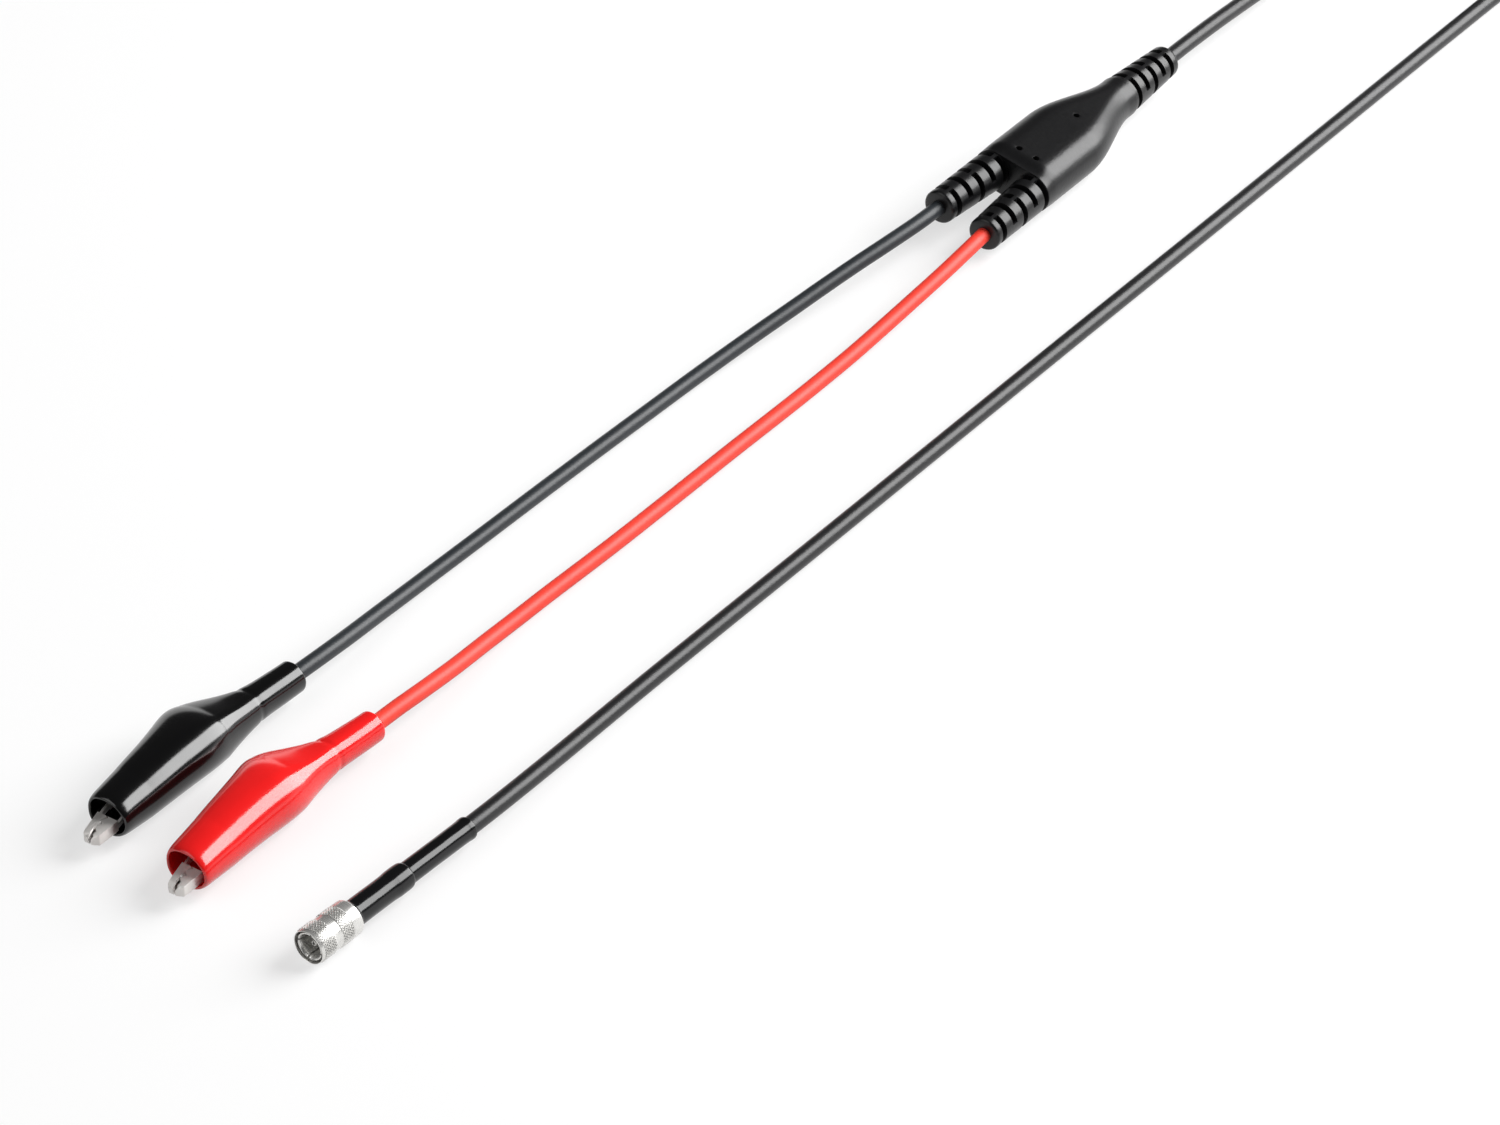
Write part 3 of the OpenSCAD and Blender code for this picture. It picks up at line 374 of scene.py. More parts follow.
for name, route, skin, leaves, node, finish in (
    ("black_wire", black_route, black_pvc, (0.0774, 0.01061, 0.00661), "black_lead", "lead_black"),
    ("red_wire", red_route, red_silicone, (0.0774, 0.00109, 0.00433), "red_lead", "lead_red"),
):
    line = smooth_line(np.array(route) * MM, 1.0 * MM)
    wire = jacket(name, line, 1.375 * MM)
    wire.data.materials.append(skin)
    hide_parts(node)
    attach(wire, "lead")
    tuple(leaves)


# ---------- Coupling sleeve ----------
# The turned brass sleeve that is pulled back to unlatch the plug, nickel plated, with two
# knurled grip bands. The knurl is rolled: rows of small flat-topped diamonds.
def set_down(origin, yaw, x, y, z):
    """A point of a piece that lies turned by yaw degrees about its origin, in metres in the
    row frame."""
    a = math.radians(yaw)
    return (
        (origin[0] + x * math.cos(a) - y * math.sin(a)) * MM,
        (origin[1] + x * math.sin(a) + y * math.cos(a)) * MM,
        (origin[2] + z) * MM,
    )


plug_front = (-144.5, -24.5, 3.05)
plug_yaw = -2.9


def at_plug(x, y, z):
    """A point of the plug, x behind the sleeve's front face."""
    return set_down(plug_front, plug_yaw, x, y, z)


def turned(name, outline, place, sides=96):
    """A lathe form: a closed outline of (radius, x) points turned round the x axis."""
    points = []
    for i in range(sides):
        a = 2 * math.pi * i / sides
        points += [place(x, r * math.cos(a), r * math.sin(a)) for r, x in outline]
    faces = wrapped(sides, len(outline), last_meets_first=True)
    return new_piece(name, points, faces, sharp=32)


def baked(piece, sharp=32):
    """The piece with its modifiers made plain mesh."""
    bpy.context.view_layer.update()
    graph = bpy.context.evaluated_depsgraph_get()
    mesh = bpy.data.meshes.new_from_object(
        piece.evaluated_get(graph), preserve_all_data_layers=True, depsgraph=graph,
    )
    piece.modifiers.clear()
    piece.data = mesh
    mesh.polygons.foreach_set("use_smooth", [True] * len(mesh.polygons))
    mesh.set_sharp_from_angle(angle=math.radians(sharp))
    return piece


def nickel(name, colour, roughness, scratches, metallic, cloudy=0.14, depth=0.00001, turning=0):
    """Nickel plate: bright, a little warm and softly blurred by its satin base metal. Its fine
    scratches become a lathe's rings, turning times finer along the plug's axis, where given."""
    finish, tree, where = new_finish(name)
    tint(
        tree, noise(tree, where, 420, 4),
        [c * (1 - cloudy) for c in colour], colour, (0.3, 0.75),
    )
    if turning:
        stretch = tree.nodes.new("ShaderNodeMapping")
        stretch.inputs["Rotation"].default_value = (0, 0, math.radians(-plug_yaw))
        stretch.inputs["Scale"].default_value = (turning, 1, 1)
        tree.links.new(where, stretch.inputs["Vector"])
        where = stretch.outputs["Vector"]
    fine = noise(tree, where, scratches, 3)
    gloss(tree, fine, roughness - 0.07, roughness + 0.1)
    relief(tree, fine, depth, strength=0.5)
    tree.nodes["Principled BSDF"].inputs["Metallic"].default_value = metallic
    return finish


def knurl_stud():
    """One flat-topped diamond of the rolled knurl, its foot just under z = 0."""
    foot, top, height, sunk = 0.235, 0.075, 0.13, 0.01
    points = []
    for half, z in ((foot, -sunk), (top, height - sunk)):
        points += [(half, 0, z), (0, half, z), (-half, 0, z), (0, -half, z)]
    faces = [(0, 1, 5, 4), (1, 2, 6, 5), (2, 3, 7, 6), (3, 0, 4, 7), (4, 5, 6, 7)]
    mesh = bpy.data.meshes.new("knurl_stud")
    mesh.from_pydata([[v * MM for v in p] for p in points], [], faces)
    return bpy.data.objects.new("knurl_stud", mesh)


def knurl_tree(stud, metal):
    """Nodes that set studs in staggered rows round the x axis. Sizes in metres."""
    tree = bpy.data.node_groups.new("knurled_band", "GeometryNodeTree")
    sockets = tree.interface
    sockets.new_socket("Geometry", in_out="INPUT", socket_type="NodeSocketGeometry")
    sizes = {}
    for label, kind, value in (
        ("Studs around", "NodeSocketInt", 36), ("Rows", "NodeSocketInt", 9),
        ("Band start", "NodeSocketFloat", 0.0), ("Band length", "NodeSocketFloat", 0.0025),
        ("Root radius", "NodeSocketFloat", 0.0029),
    ):
        socket = sockets.new_socket(label, in_out="INPUT", socket_type=kind)
        socket.default_value = value
        sizes[label] = socket.identifier
    sockets.new_socket("Geometry", in_out="OUTPUT", socket_type="NodeSocketGeometry")
    nodes, links = tree.nodes, tree.links
    given = nodes.new("NodeGroupInput").outputs
    out = nodes.new("NodeGroupOutput")

    def sums(kind, *values):
        node = nodes.new("ShaderNodeMath")
        node.operation = kind
        for socket, value in zip(node.inputs, values):
            if isinstance(value, (int, float)):
                socket.default_value = value
            else:
                links.new(value, socket)
        return node.outputs[0]

    studs = nodes.new("GeometryNodeMeshLine")
    links.new(sums("MULTIPLY", given["Studs around"], given["Rows"]), studs.inputs["Count"])
    index = nodes.new("GeometryNodeInputIndex").outputs[0]
    row = sums("FLOOR", sums("DIVIDE", index, given["Studs around"]))
    column = sums("MODULO", index, given["Studs around"])
    stagger = sums("MULTIPLY", sums("MODULO", row, 2.0), 0.5)
    turn_share = sums("DIVIDE", sums("ADD", column, stagger), given["Studs around"])
    angle = sums("MULTIPLY", turn_share, 2 * math.pi)
    row_share = sums("DIVIDE", sums("ADD", row, 0.5), given["Rows"])
    row_x = sums("ADD", given["Band start"], sums("MULTIPLY", given["Band length"], row_share))
    spot = nodes.new("ShaderNodeCombineXYZ")
    links.new(row_x, spot.inputs[0])
    links.new(sums("MULTIPLY", given["Root radius"], sums("COSINE", angle)), spot.inputs[1])
    links.new(sums("MULTIPLY", given["Root radius"], sums("SINE", angle)), spot.inputs[2])
    in_rows = nodes.new("GeometryNodeSetPosition")
    links.new(studs.outputs["Mesh"], in_rows.inputs["Geometry"])
    links.new(spot.outputs[0], in_rows.inputs["Position"])
    lean = nodes.new("ShaderNodeCombineXYZ")
    links.new(sums("SUBTRACT", angle, math.pi / 2), lean.inputs[0])
    shape = nodes.new("GeometryNodeObjectInfo")
    shape.inputs["Object"].default_value = stud
    each = nodes.new("GeometryNodeInstanceOnPoints")
    links.new(in_rows.outputs["Geometry"], each.inputs["Points"])
    links.new(shape.outputs["Geometry"], each.inputs["Instance"])
    links.new(lean.outputs[0], each.inputs["Rotation"])
    real = nodes.new("GeometryNodeRealizeInstances")
    links.new(each.outputs["Instances"], real.inputs["Geometry"])
    finish = nodes.new("GeometryNodeSetMaterial")
    finish.inputs["Material"].default_value = metal
    links.new(real.outputs["Geometry"], finish.inputs["Geometry"])
    links.new(finish.outputs["Geometry"], out.inputs["Geometry"])
    return tree, sizes


def joined(name, pieces):
    """One mesh of several, which keep their faces' materials."""
    finishes = []
    bm = bmesh.new()
    for piece in pieces:
        finishes += [m for m in piece.data.materials if m not in finishes]
        before = len(bm.faces)
        bm.from_mesh(piece.data)
        bm.faces.ensure_lookup_table()
        for face in bm.faces[before:]:
            face.material_index = finishes.index(piece.data.materials[face.material_index])
    mesh = bpy.data.meshes.new(name)
    bm.to_mesh(mesh)
    bm.free()
    for finish in finishes:
        mesh.materials.append(finish)
    for piece in pieces:
        bpy.data.objects.remove(piece)
    return put_in_scene(name, mesh)


satin_nickel = nickel("satin_nickel", (0.8, 0.79, 0.765), 0.27, 900, 0.75, turning=9)
sleeve_turning = turned("sleeve_turning", [
    (2.74, 0.0), (2.8, 0.03), (2.84, 0.11), (2.85, 0.52), (2.88, 0.6), (2.9, 3.14), (2.87, 3.2),
    (2.86, 3.26), (2.86, 4.62), (2.87, 4.7), (2.9, 4.76), (2.9, 6.96), (2.97, 7.04), (2.97, 8.72),
    (2.95, 8.9), (2.88, 9.03), (2.78, 9.1), (2.58, 9.1), (2.58, 5.4), (1.97, 5.4), (1.97, 5.0),
    (2.58, 5.0), (2.58, 1.3), (2.69, 1.2), (2.7, 0.06),
], at_plug)
sleeve_turning.data.materials.append(satin_nickel)
stud = knurl_stud()
band_tree, band_sizes = knurl_tree(stud, satin_nickel)
to_plug = Matrix.Translation(at_plug(0, 0, 0)) @ Matrix.Rotation(math.radians(plug_yaw), 4, "Z")
bands = []
for start, length, rows in ((0.64, 2.5, 9), (4.76, 2.2, 8)):
    band = put_in_scene("knurled_band", bpy.data.meshes.new("knurled_band"))
    rolled = band.modifiers.new("knurl", "NODES")
    rolled.node_group = band_tree
    rolled[band_sizes["Studs around"]] = 36
    rolled[band_sizes["Rows"]] = rows
    rolled[band_sizes["Band start"]] = start * MM
    rolled[band_sizes["Band length"]] = length * MM
    rolled[band_sizes["Root radius"]] = 2.9 * MM
    baked(band)
    band.data.transform(to_plug)
    band.data.polygons.foreach_set("use_smooth", [False] * len(band.data.polygons))
    bands.append(band)
sleeve = joined("knurled_sleeve", [sleeve_turning] + bands)
bpy.data.objects.remove(stud)
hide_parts("coupling_sleeve")
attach(sleeve, "sleeve")


# ---------- Collet and inner parts of the plug ----------
# The body is turned brass whose front is sawn into four spring fingers. Inside are a PTFE
# bush and the socket contact. Spring, ring, ferrule and braid are hidden by sleeve and shrink.
def cut_away(piece, cutters):
    """Takes closed cutters out of a closed piece."""
    for cutter in cutters:
        take = piece.modifiers.new("cut", "BOOLEAN")
        take.operation = "DIFFERENCE"
        take.solver = "EXACT"
        take.object = cutter
    baked(piece)
    for cutter in cutters:
        bpy.data.objects.remove(cutter)


def collet_saw(turn):
    """The cut of a saw 0.3 mm wide, from the front to just behind the fingers' root."""
    front, back, half_cut = -0.5, 5.15, 0.15
    a = math.radians(turn)
    corners = []
    for r in (0.6, 3.0):
        for x, w in ((front, -half_cut), (back, -half_cut), (back, half_cut), (front, half_cut)):
            y = r * math.cos(a) - w * math.sin(a)
            z = r * math.sin(a) + w * math.cos(a)
            corners.append(at_plug(x, y, z))
    return new_piece("saw_cut", corners, capped(2, 4), sharp=30)


collet = turned("slotted_collet", [
    (1.93, 0.75), (2.06, 0.4), (2.14, 0.29), (2.22, 0.25), (2.32, 0.28), (2.39, 0.4), (2.4, 0.6),
    (2.4, 1.4), (2.5, 1.6), (2.5, 4.9), (1.95, 4.9), (1.95, 8.3), (1.65, 8.3), (1.65, 8.65),
    (1.95, 8.65), (1.95, 9.6), (1.35, 9.6), (1.35, 16.4), (0.8, 16.4), (0.8, 9.6), (1.5, 9.6),
    (1.5, 4.2), (1.9, 4.2), (1.9, 2.2), (1.86, 1.6), (1.86, 1.1),
], at_plug)
cut_away(collet, [collet_saw(10 + 90 * i) for i in range(4)])
collet.data.materials.append(satin_nickel)
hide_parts("plug_body")
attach(collet, "lead")


def plain_finish(name, colour, roughness, metallic, scale, depth):
    """A finish for what is hidden or small: a fine fleck and grain, its depth in metres."""
    finish, tree, where = new_finish(name)
    fleck = noise(tree, where, scale, 4)
    tint(tree, fleck, [c * 0.85 for c in colour], [min(1, c * 1.08) for c in colour])
    relief(tree, fleck, depth)
    skin = tree.nodes["Principled BSDF"]
    skin.inputs["Roughness"].default_value = roughness
    skin.inputs["Metallic"].default_value = metallic
    return finish


def from_solid(name, node, finish, broken=0.0):
    """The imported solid's own mesh, merged, with its edges broken by that much."""
    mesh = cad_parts[node].data.copy()
    mesh.name = name
    mesh.transform(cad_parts[node].matrix_world)
    mesh.materials.clear()
    bm = bmesh.new()
    bm.from_mesh(mesh)
    bmesh.ops.remove_doubles(bm, verts=bm.verts, dist=2e-6)
    bmesh.ops.dissolve_limit(bm, angle_limit=math.radians(1.5), verts=bm.verts, edges=bm.edges)
    bm.to_mesh(mesh)
    bm.free()
    piece = put_in_scene(name, mesh)
    if broken > 0:
        edges = piece.modifiers.new("broken_edges", "BEVEL")
        edges.width = broken
        edges.segments = 2
        edges.limit_method = "ANGLE"
        edges.angle_limit = math.radians(30)
        edges.use_clamp_overlap = True
    baked(piece, sharp=30)
    piece.data.materials.clear()
    piece.data.materials.append(finish)
    return piece


def refinish(node, finish):
    """Gives a CAD node that is shown as it is a finish of its own."""
    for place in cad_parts[node].material_slots:
        place.material = finish


# The inner parts of plug, junction and clips keep their solids' shapes, in finishes of their own
white_ptfe = plain_finish("white_ptfe", (0.85, 0.85, 0.82), 0.45, 0.0, 1500, 0.00001)
copper_wire = plain_finish("tinned_copper", (0.72, 0.45, 0.28), 0.35, 0.9, 2500, 0.00003)
spring_wire = plain_finish("spring_wire", (0.6, 0.6, 0.6), 0.25, 0.9, 2500, 0.00001)
stiff_mould = plain_finish("inner_mould_black", (0.03, 0.03, 0.033), 0.55, 0.0, 900, 0.00003)
for finish, nodes in (
    (white_ptfe, ("plug_insulator", "plug_dielectric", "junction_dielectric")),
    (satin_nickel, ("centre_contact", "crimp_ferrule")),
    (spring_wire, ("retaining_ring",)),
    (copper_wire, (
        "plug_braid", "plug_core", "ground_splice", "signal_splice", "ground_strands",
        "signal_strands", "braid_pigtail", "signal_core", "black_clip_strands", "red_clip_strands",
    )),
    (stiff_mould, ("junction_inner_mould",)),
):
    for node in nodes:
        refinish(node, finish)

# The return spring sits between the sleeve's inner shoulder and the ring.
return_spring = from_solid("return_spring", "sleeve_spring", spring_wire)
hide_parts("sleeve_spring")
at_plug(5.7, 0, 0)
at_plug(8.1, 0, 0)
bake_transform(return_spring)


# ---------- Heat-shrink tubes ----------
# Two lengths of glossy black tube: the rear one shrunk on the cable, the front one over the
# crimped ferrule and the first tube's end, which show through as soft steps.
def curve_through(x, y, wanted):
    """Monotone cubic curve through stations: it never overshoots them."""
    x = np.asarray(x, float)
    y = np.asarray(y, float)
    gap = np.diff(x)
    rise = np.diff(y) / gap
    slope = np.zeros(len(x))
    slope[0], slope[-1] = rise[0], rise[-1]
    for i in range(1, len(x) - 1):
        if rise[i - 1] * rise[i] > 0:
            w1 = 2 * gap[i] + gap[i - 1]
            w2 = gap[i] + 2 * gap[i - 1]
            slope[i] = (w1 + w2) / (w1 / rise[i - 1] + w2 / rise[i])
    k = np.clip(np.searchsorted(x, wanted, side="right") - 1, 0, len(x) - 2)
    t = (wanted - x[k]) / gap[k]
    return (
        (1 + 2 * t) * (1 - t) ** 2 * y[k] + t * (1 - t) ** 2 * gap[k] * slope[k]
        + t * t * (3 - 2 * t) * y[k + 1] + t * t * (t - 1) * gap[k] * slope[k + 1]
    )


def shrunk(name, stations, bore):
    """A tube whose outer radius follows (x, radius) stations, with slight ripples that die out
    at its ends. bore is a list of (radius, x) points that close the inside."""
    sides, step = 96, 0.12
    xs = np.arange(stations[0][0], stations[-1][0] + step / 2, step)
    at = np.array(stations, float)
    radii = curve_through(at[:, 0], at[:, 1], xs)
    points = []
    for i in range(sides):
        a = 2 * math.pi * i / sides
        for x, r in zip(xs, radii):
            ripple = 0.0036 * math.sin(3 * a + 0.9 * x) + 0.0024 * math.sin(5 * a - 1.7 * x + 1)
            r = r + ripple * max(0, min(1, (x - xs[0]) / 1.5, xs[-1] - x))
            points.append(at_plug(x, r * math.cos(a), r * math.sin(a)))
        points += [at_plug(x, r * math.cos(a), r * math.sin(a)) for r, x in bore]
    faces = wrapped(sides, len(xs) + len(bore), last_meets_first=True)
    return new_piece(name, points, faces, sharp=50)


shrink_black = pvc("heat_shrink_black", (0.0045, 0.0045, 0.005), 0.15, 700, 0.000004, ior=1.45)
front_shrink = shrunk("front_shrink", [
    (9.22, 2.38), (9.27, 2.43), (9.45, 2.43), (9.6, 2.3), (9.8, 2.2), (10.2, 2.17), (13, 2.16),
    (16, 2.15), (17.4, 2.16), (18.3, 2.21), (18.9, 2.25), (20.2, 2.26), (20.8, 2.24), (21.3, 2.2),
    (21.55, 2.12), (21.68, 2.02),
], [(1.9, 21.7), (1.9, 20.4), (1.98, 20.3), (1.96, 9.2), (2.3, 9.2)])
rear_shrink = shrunk("rear_shrink", [
    (20.5, 1.86), (22.5, 1.85), (28, 1.83), (33, 1.84), (34.8, 1.86), (35.6, 1.92), (35.95, 1.92),
    (36.04, 1.86),
], [(1.52, 36.05), (1.52, 20.45), (1.8, 20.45)])
for tube, node in ((front_shrink, "front_heat_shrink"), (rear_shrink, "rear_heat_shrink")):
    tube.data.materials.append(shrink_black)
    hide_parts(node)
    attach(tube, "lead")


# ---------- Moulded junction ----------
# One shot of satin black rubber over the splices: a flat-sided body with a waisted inlet,
# and a slotted strain relief on each cable. The slots alternate, sides then flats.
def at_junction(x, y, z):
    """A point of the junction, x behind the outlets' mouths, in metres in the row frame."""
    roll = math.radians(13.5)
    return (
        (77.4 + x) * MM,
        (5.85 + y * math.cos(roll) - z * math.sin(roll)) * MM,
        (5.47 + y * math.sin(roll) + z * math.cos(roll)) * MM,
    )


def body_shell():
    """The flat-sided body from the crotch to the inlet: straight flats between round sides,
    thinned at the crotch to run into the outlets."""
    crotch, shoulder, neck, back = 16.7, 32.5, 52.5, 53.0
    half_t, neck_r, flat_half_w = 4.7, 3.95, 3.3
    crotch_thinning, thinned_over = 0.85, 3.0
    xs = [crotch, *np.arange(crotch + 0.3, back, 0.35).tolist(), back]
    points = []
    for x in xs:
        waist = eased((x - shoulder) / (neck - shoulder))
        thinned = crotch_thinning * (1 - eased((x - crotch) / thinned_over))
        flat = max(0.1, flat_half_w * (1 - waist)) + thinned
        r = half_t + (neck_r - half_t) * waist - thinned
        ring = []
        for side in (1, -1):
            for i in range(25):
                a = math.radians(180 * i / 24 - 90)
                ring.append((side * (flat + r * math.cos(a)), side * r * math.sin(a)))
            for i in range(1, 6):
                ring.append((side * flat * (1 - i / 3), side * r))
        points += [at_junction(x, y, z) for y, z in ring]
    return new_piece("body_shell", points, capped(len(xs), len(ring)), sharp=40)


def soft_step(u, soft):
    return eased(0.5 + u / (2 * soft))


def relief_shell(name, length, rows, radius, floor, bore, place):
    """A strain relief: a tapered sleeve with five rows of windows down to floor. rows are the
    windows' middles, radius gives the outside at x, place sets a point in the junction."""
    half, edge = 0.64, 0.06
    side_reach, flat_reach = 83, 65  # degrees to each side of a window's middle
    xs = {0.0, 0.06, 0.15, 0.28, 0.45, length}
    for row in rows:
        for d in (half - edge, half - edge / 2, half, half + edge / 2, half + edge, 0.25, 0):
            xs.update((round(row - d, 3), round(row + d, 3)))
    marks = sorted(xs)
    for a, b in zip(marks[:-1], marks[1:]):
        if b - a > 0.5:
            xs.update(round(a + (b - a) * k / 3, 3) for k in (1, 2))
    turns = set(range(0, 360, 5))
    for middle, reach in ((0, side_reach), (180, side_reach), (90, flat_reach), (270, flat_reach)):
        for d in range(-2, 3):
            turns.update(((middle + reach + d) % 360, (middle - reach + d) % 360))
    turns = sorted(turns)

    def window_depth(x, turn):
        deepest = 0.0
        for i, row in enumerate(rows):
            along = soft_step(half - abs(x - row), edge)
            middles, reach = ((0, 180), side_reach) if i % 2 == 0 else ((90, 270), flat_reach)
            for middle in middles:
                off = abs((turn - middle + 180) % 360 - 180)
                deepest = max(deepest, along * soft_step(reach - off, 1.6))
        return deepest

    around = [(turn, math.cos(math.radians(turn)), math.sin(math.radians(turn))) for turn in turns]
    points = [place(0.02, bore * c, bore * s) for _, c, s in around]
    for x in sorted(xs):
        outside = radius(x)
        for turn, c, s in around:
            r = outside - (outside - floor) * window_depth(x, turn)
            points.append(place(x, r * c, r * s))
    return new_piece(name, points, capped(len(xs) + 1, len(turns)), sharp=40)


def taper(mouth_r, root_r, length):
    """A relief's radius at x behind its mouth, where a rounded lip draws it in."""

    def radius(x):
        lip = 0.35 * (1 - min(1, x / 0.45)) ** 2
        return mouth_r + (root_r - mouth_r) * x / length - lip

    return radius


def outlet_place(side):
    """The two outlets fan out from the crotch to the mouths."""
    mouth_offset, crotch_offset, length = 4.9, 4.35, 16.7
    fan = -side * math.atan2(mouth_offset - crotch_offset, length)

    def place(x, y, z):
        across = side * mouth_offset + x * math.sin(fan) + y * math.cos(fan)
        return at_junction(x * math.cos(fan) - y * math.sin(fan), across, z)

    return place


def inlet_place(x, y, z):
    return at_junction(69.4 - x, y, z)


def pin_mark(x, y):
    """The plug of rubber that an ejector pin's mark leaves out, at x, y on the flat."""
    return turned(
        "pin_mark", [(0.0, 3.9), (0.58, 3.9), (0.63, 5.4), (0.0, 5.4)],
        lambda height, u, v: at_junction(x + u, y + v, height), sides=24,
    )


shell = body_shell()
cut_away(shell, [pin_mark(x, y) for x, y in ((20.0, 1.85), (20.0, -1.85), (36.4, 0.0))])
soften = shell.modifiers.new("mould_edge", "BEVEL")
soften.width = 0.22 * MM
soften.segments = 3
soften.limit_method = "ANGLE"
soften.angle_limit = math.radians(50)
baked(shell, sharp=45)
outlet_rows = [2.15 + 13.7 * i / 4 for i in range(5)]
inlet_rows = [2.6 + 12.25 * i / 4 for i in range(5)]
outlets = [
    relief_shell(
        "outlet_relief", 17.6, outlet_rows, taper(3.1, 3.65, 17.7), 1.925, 1.37, outlet_place(side),
    )
    for side in (1, -1)
]
inlet = relief_shell(
    "inlet_relief", 16.9, inlet_rows, taper(3.0, 3.95, 16.9), 2.05, 1.49, inlet_place,
)
rubber = pvc("satin_black_rubber", (0.005, 0.005, 0.0055), 0.3, 1500, 0.00002)
for part in (shell, *outlets, inlet):
    part.data.materials.clear()
    part.data.materials.append(rubber)
junction = joined("moulded_junction", [shell, *outlets, inlet])
junction.data.set_sharp_from_angle(angle=math.radians(42))
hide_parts("junction_overmould")
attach(junction, "lead")


# ---------- Clip jaws ----------
# Each clip is two channels bent from nickel-plated sheet, riveted on a pin with a torsion
# spring between. Teeth interlock at the nose, whose ends are pressed in to a V.
clip_places = {  # the middle of each boot's mouth, the boot's yaw, the clip's shift in the boot
    "black": ((-138.6, 19.2, 4.2), -1.0, 0.3),
    "red": ((-141.7, 1.2, 4.2), -1.3, 0.0),
}
bright_nickel = nickel(
    "bright_nickel", (0.86, 0.83, 0.8), 0.42, 2600, 0.4, cloudy=0.06, depth=0.000003,
)
spring_x, still_y, lever_y = 9, 2.0, 3.4  # where the torsion spring starts and ends to turn
for clip, (mouth, yaw, shift) in clip_places.items():
    for part, body in (("fixed_jaw", "lead"), ("moving_jaw", clip + "_jaw")):
        jaw = from_solid(clip + "_plated_" + part, clip + "_" + part, bright_nickel, 0.07 * MM)
        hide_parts(clip + "_" + part)
        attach(jaw, body)
    refinish(clip + "_hinge_pin", bright_nickel)
    # The torsion spring keeps the shape and place of its solid
    torsion = from_solid(clip + "_torsion_spring", clip + "_jaw_spring", spring_wire)
    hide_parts(clip + "_jaw_spring")
    set_down(mouth, yaw, spring_x, shift + still_y, 0)
    set_down(mouth, yaw, spring_x, shift + lever_y, 0)
    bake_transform(torsion)


# ---------- Clip boots ----------
# Dip-moulded soft vinyl, glossy: a round mouth at the jaws, a wide side over the lever, and
# a neck that grips the wire.
def boot_shell(name, mouth, yaw, stations, length):
    """A boot's wall, 0.6 mm thick with a rolled rim. Each station is its place behind the
    rim, then the middle, the reach to the lever's side, the reach to the other side and the
    half height of an egg-shaped section that rests on the table."""
    wall, wire_bore, inside_end = 0.6, 1.42, 36.0
    grip = 34.0  # a faint waist where the neck starts to grip the wire
    waist_depth, waist_half = 0.1, 0.55
    lever_square, near_square = 2.35, 2.0  # how far each side goes from round to square
    rest_half = 4.2  # a section higher than this is lifted, so that it still rests on the table
    sides = 128
    xs = [2.1 + 0.45 * i for i in range(int((length - 2.5) / 0.45) + 1)] + [length - 0.4]
    xs = [x for x in xs if abs(x - grip) > 1.3] + [grip + 0.15 * i for i in range(-8, 9)]
    xs = sorted(set(xs))
    table = np.array(stations, float)

    def section(x):
        """The stations' curve, softened over 5 mm as dipped vinyl rounds the form's corners."""
        near = np.clip(x + np.linspace(-2.5, 2.5, 13) * min(1, x / 4), 0, length)
        curves = (curve_through(table[:, 0], table[:, k], near) for k in (1, 2, 3, 4))
        return [float(curve.mean()) for curve in curves]

    def ring(x, draw_in):
        """The section at x, drawn in all round."""
        middle, lever_side, near_side, high = section(min(max(x, 0), length))
        draw_in += waist_depth * math.exp(-(((x - grip) / waist_half) ** 2))
        points = []
        for j in range(sides):
            t = 2 * math.pi * j / sides
            c, s = math.cos(t), math.sin(t)
            reach, square = (lever_side, lever_square) if c >= 0 else (near_side, near_square)
            y = middle + (reach - draw_in) * math.copysign(abs(c) ** (2 / square), c)
            z = (high - draw_in) * math.copysign(abs(s) ** (2 / square), s)
            points.append(set_down(mouth, yaw, x, y, z + max(0.0, high - rest_half)))
        return points

    inside = [(x, wall) for x in reversed(xs) if x <= grip]
    inside += [(1.3, 0.62), (0.7, 0.66), (0.36, 0.68)]
    rim = [
        (0.16, 0.62), (0.04, 0.53), (0.0, 0.43), (0.02, 0.33), (0.1, 0.23), (0.26, 0.15),
        (0.5, 0.085), (0.85, 0.035), (1.25, 0.008), (1.7, 0.0),
    ]
    outside = [(x, 0.0) for x in xs]
    tail = [
        (length - back, draw_in)
        for back, draw_in in ((0.22, 0.04), (0.08, 0.13), (0.0, 0.3), (0.02, 0.55), (0.12, 0.8))
    ]
    to_wire = section(length)[3] - wire_bore
    neck_bore = [
        (length - 0.35, to_wire), (length - 1.5, to_wire),
        (inside_end, section(inside_end)[3] - wire_bore),
    ]
    rings = [ring(x, draw_in) for x, draw_in in inside + rim + outside + tail + neck_bore]
    points = [p for r in rings for p in r]
    faces = wrapped(len(rings), sides, last_meets_first=True)
    return new_piece(name, points, faces, sharp=60)


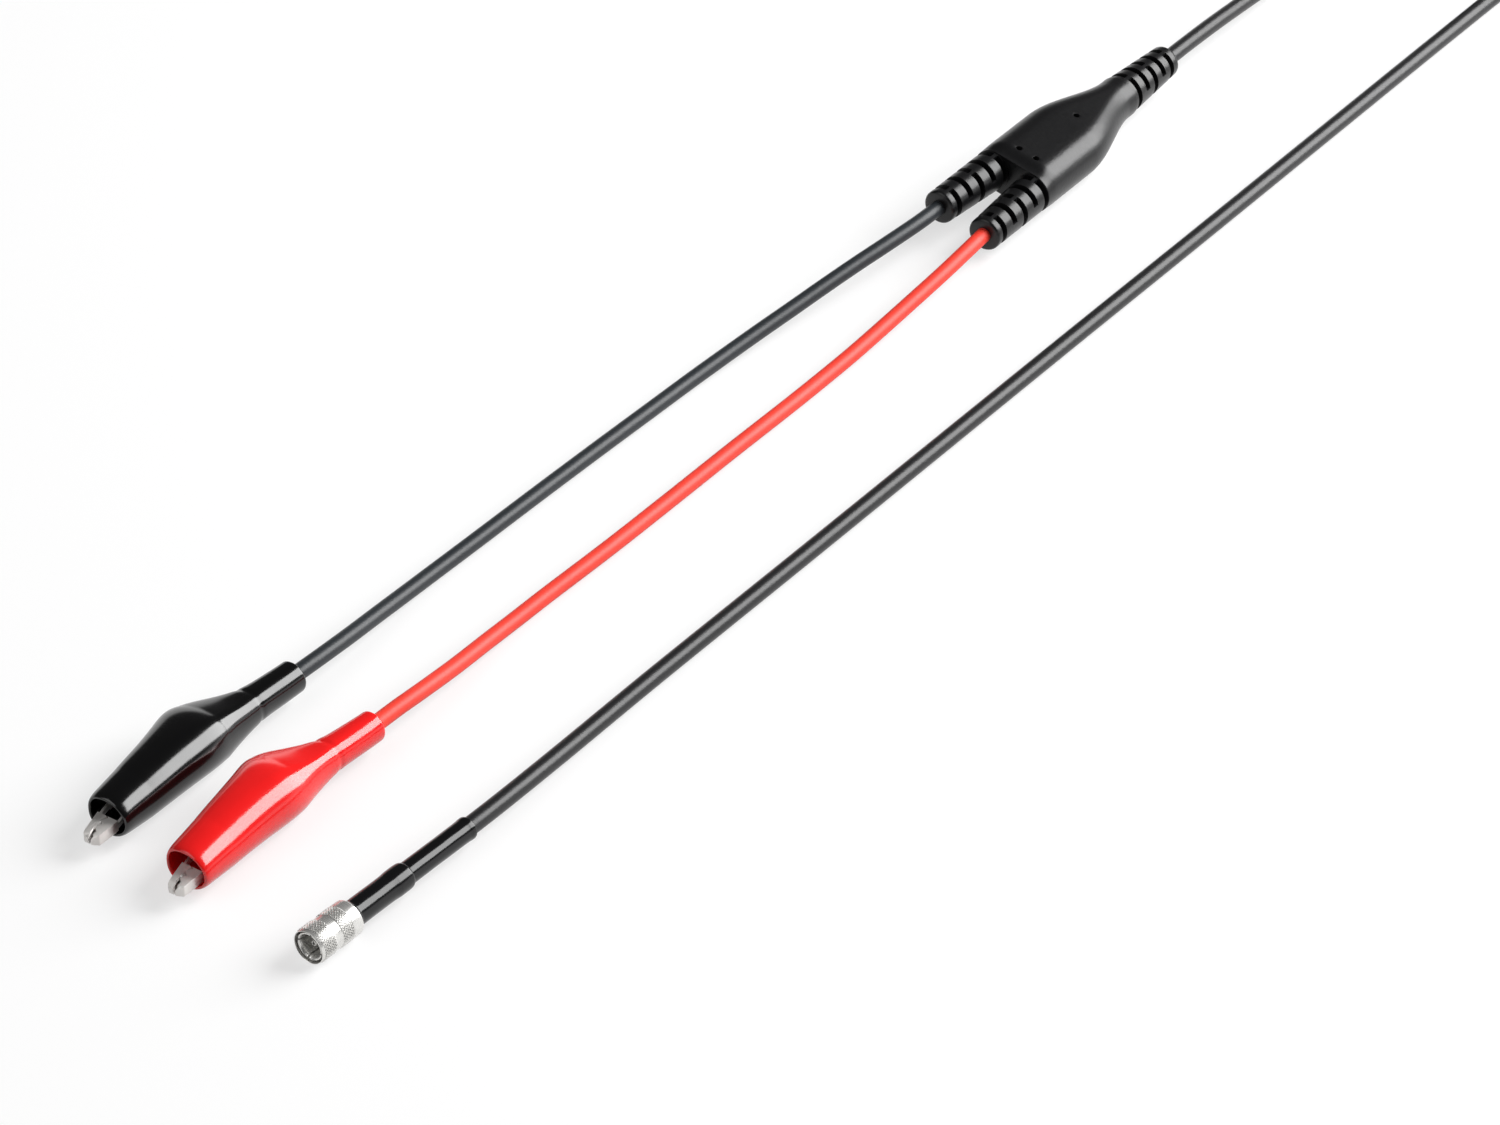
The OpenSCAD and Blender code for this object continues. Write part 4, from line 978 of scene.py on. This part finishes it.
black_stations = [
    (0, -0.2, 3.9, 4.2, 3.5), (4, 0.1, 4.2, 4.5, 4.0), (11, 0.45, 5.0, 5.0, 4.45),
    (18, 0.4, 6.65, 5.0, 4.65), (22, 0, 8.3, 4.5, 4.65), (24, -0.3, 9.0, 3.85, 4.4),
    (26, -0.45, 8.65, 3.15, 4.05), (28, -0.55, 7.8, 2.7, 3.55), (30, -0.5, 6.7, 2.5, 3.2),
    (32, -0.3, 5.1, 2.45, 2.95), (35, 0.15, 3.25, 2.65, 2.8), (39, 0.05, 2.8, 2.7, 2.8),
    (44.2, -0.1, 2.5, 2.65, 2.75),
]
red_stations = [
    (0, -0.2, 4.0, 4.2, 3.5), (4, 0.35, 4.1, 4.6, 3.95), (11, 0.85, 4.9, 4.95, 4.4),
    (18, 0.65, 6.5, 4.8, 4.65), (22, 0.35, 7.95, 4.5, 4.6), (24, 0.3, 8.7, 4.05, 4.3),
    (26, -0.05, 9.0, 3.2, 3.9), (28, -0.6, 8.55, 2.2, 3.35), (30, -0.6, 7.35, 1.85, 2.95),
    (32, -0.15, 5.3, 2.1, 2.8), (35, 0.3, 3.2, 2.45, 2.65), (39, 0.15, 2.8, 2.55, 2.65),
    (44.2, -0.1, 2.35, 2.45, 2.7),
]
vinyl_black = pvc("vinyl_black", (0.0022, 0.0022, 0.0024), 0.15, 260, 0.000003, ior=1.58)
vinyl_red = pvc("vinyl_red", (0.82, 0.012, 0.012), 0.15, 260, 0.000003, ior=1.58)
for clip, stations, finish in (
    ("black", black_stations, vinyl_black),
    ("red", red_stations, vinyl_red),
):
    mouth, yaw, shift = clip_places[clip]
    boot = boot_shell(clip + "_vinyl_boot", mouth, yaw, stations, 44.2)
    boot.data.materials.append(finish)
    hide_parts(clip + "_boot")
    set_down(mouth, yaw, 0.0, -3.0, 0)
    set_down(mouth, yaw, -1.41, 2.65, 0)
    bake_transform(boot)


# ---------- Table and lights ----------
# A white table that the camera and the gloss see as white, white walls under a dark ceiling,
# a long softbox low on the right, and a weak soft lamp high over the clips.
floor_mesh = bpy.data.meshes.new("table_top")
floor_mesh.from_pydata([(-4, -4, 0), (4, -4, 0), (4, 4, 0), (-4, 4, 0)], [], [(0, 1, 2, 3)])
floor = put_in_scene("table_top", floor_mesh)
floor.location.z = -0.0001
paper = bpy.data.materials.new("white_table")
paper.use_nodes = True
floor_mesh.materials.append(paper)
paper_nodes, paper_links = paper.node_tree.nodes, paper.node_tree.links
paper_skin = paper_nodes["Principled BSDF"]
paper_skin.inputs["Base Color"].default_value = (0.36, 0.36, 0.36, 1)
paper_skin.inputs["Roughness"].default_value = 0.9
paper_skin.inputs["Specular IOR Level"].default_value = 0.0
paper_skin.inputs["Emission Color"].default_value = (1, 1, 1, 1)
ray = paper_nodes.new("ShaderNodeLightPath")
seen = ray.outputs["Is Camera Ray"]
for kind in ("Is Glossy Ray", "Is Transmission Ray"):
    either = paper_nodes.new("ShaderNodeMath")
    either.operation = "MAXIMUM"
    paper_links.new(seen, either.inputs[0])
    paper_links.new(ray.outputs[kind], either.inputs[1])
    seen = either.outputs[0]
lift = paper_nodes.new("ShaderNodeMath")
lift.operation = "MULTIPLY"
lift.inputs[1].default_value = 0.62
paper_links.new(seen, lift.inputs[0])
paper_links.new(lift.outputs[0], paper_skin.inputs["Emission Strength"])

world = bpy.data.worlds.new("studio")
bpy.context.scene.world = world
world.use_nodes = True
room_nodes, room_links = world.node_tree.nodes, world.node_tree.links
toward_sky = room_nodes.new("ShaderNodeTexCoord")
up = room_nodes.new("ShaderNodeSeparateXYZ")
room_links.new(toward_sky.outputs["Generated"], up.inputs[0])
wall = room_nodes.new("ShaderNodeMapRange")
wall.interpolation_type = "SMOOTHSTEP"
wall.inputs["From Min"].default_value = 0.08
wall.inputs["From Max"].default_value = 0.2
wall.inputs["To Min"].default_value = 1.0
wall.inputs["To Max"].default_value = 0.06
room_links.new(up.outputs["Z"], wall.inputs["Value"])
room_links.new(wall.outputs["Result"], room_nodes["Background"].inputs["Color"])


def softbox(name, toward, along, distance, width, height, radiance):
    """A rectangular lamp distance away towards a point, with its height laid along a direction."""
    data = bpy.data.lights.new(name, "AREA")
    data.shape = "RECTANGLE"
    data.size = width
    data.size_y = height
    data.energy = radiance * math.pi * width * height
    back = Vector(toward).normalized()
    rise = Vector(along)
    rise = (rise - back * rise.dot(back)).normalized()
    facing = Matrix((rise.cross(back), rise, back)).transposed()
    lamp = put_in_scene(name, data)
    lamp.matrix_world = Matrix.Translation(back * distance) @ facing.to_4x4()


softbox("right_softbox", (0.664, -0.5, 0.556), (0, 0.5, 0.4475), 1.1, 1.04, 0.79, 9.6)
softbox("left_fill", (-0.6, 0.3, 0.74), (0, 0, 1), 1.2, 0.9, 0.9, 1.5)
bpy.context.scene.view_settings.view_transform = "Standard"
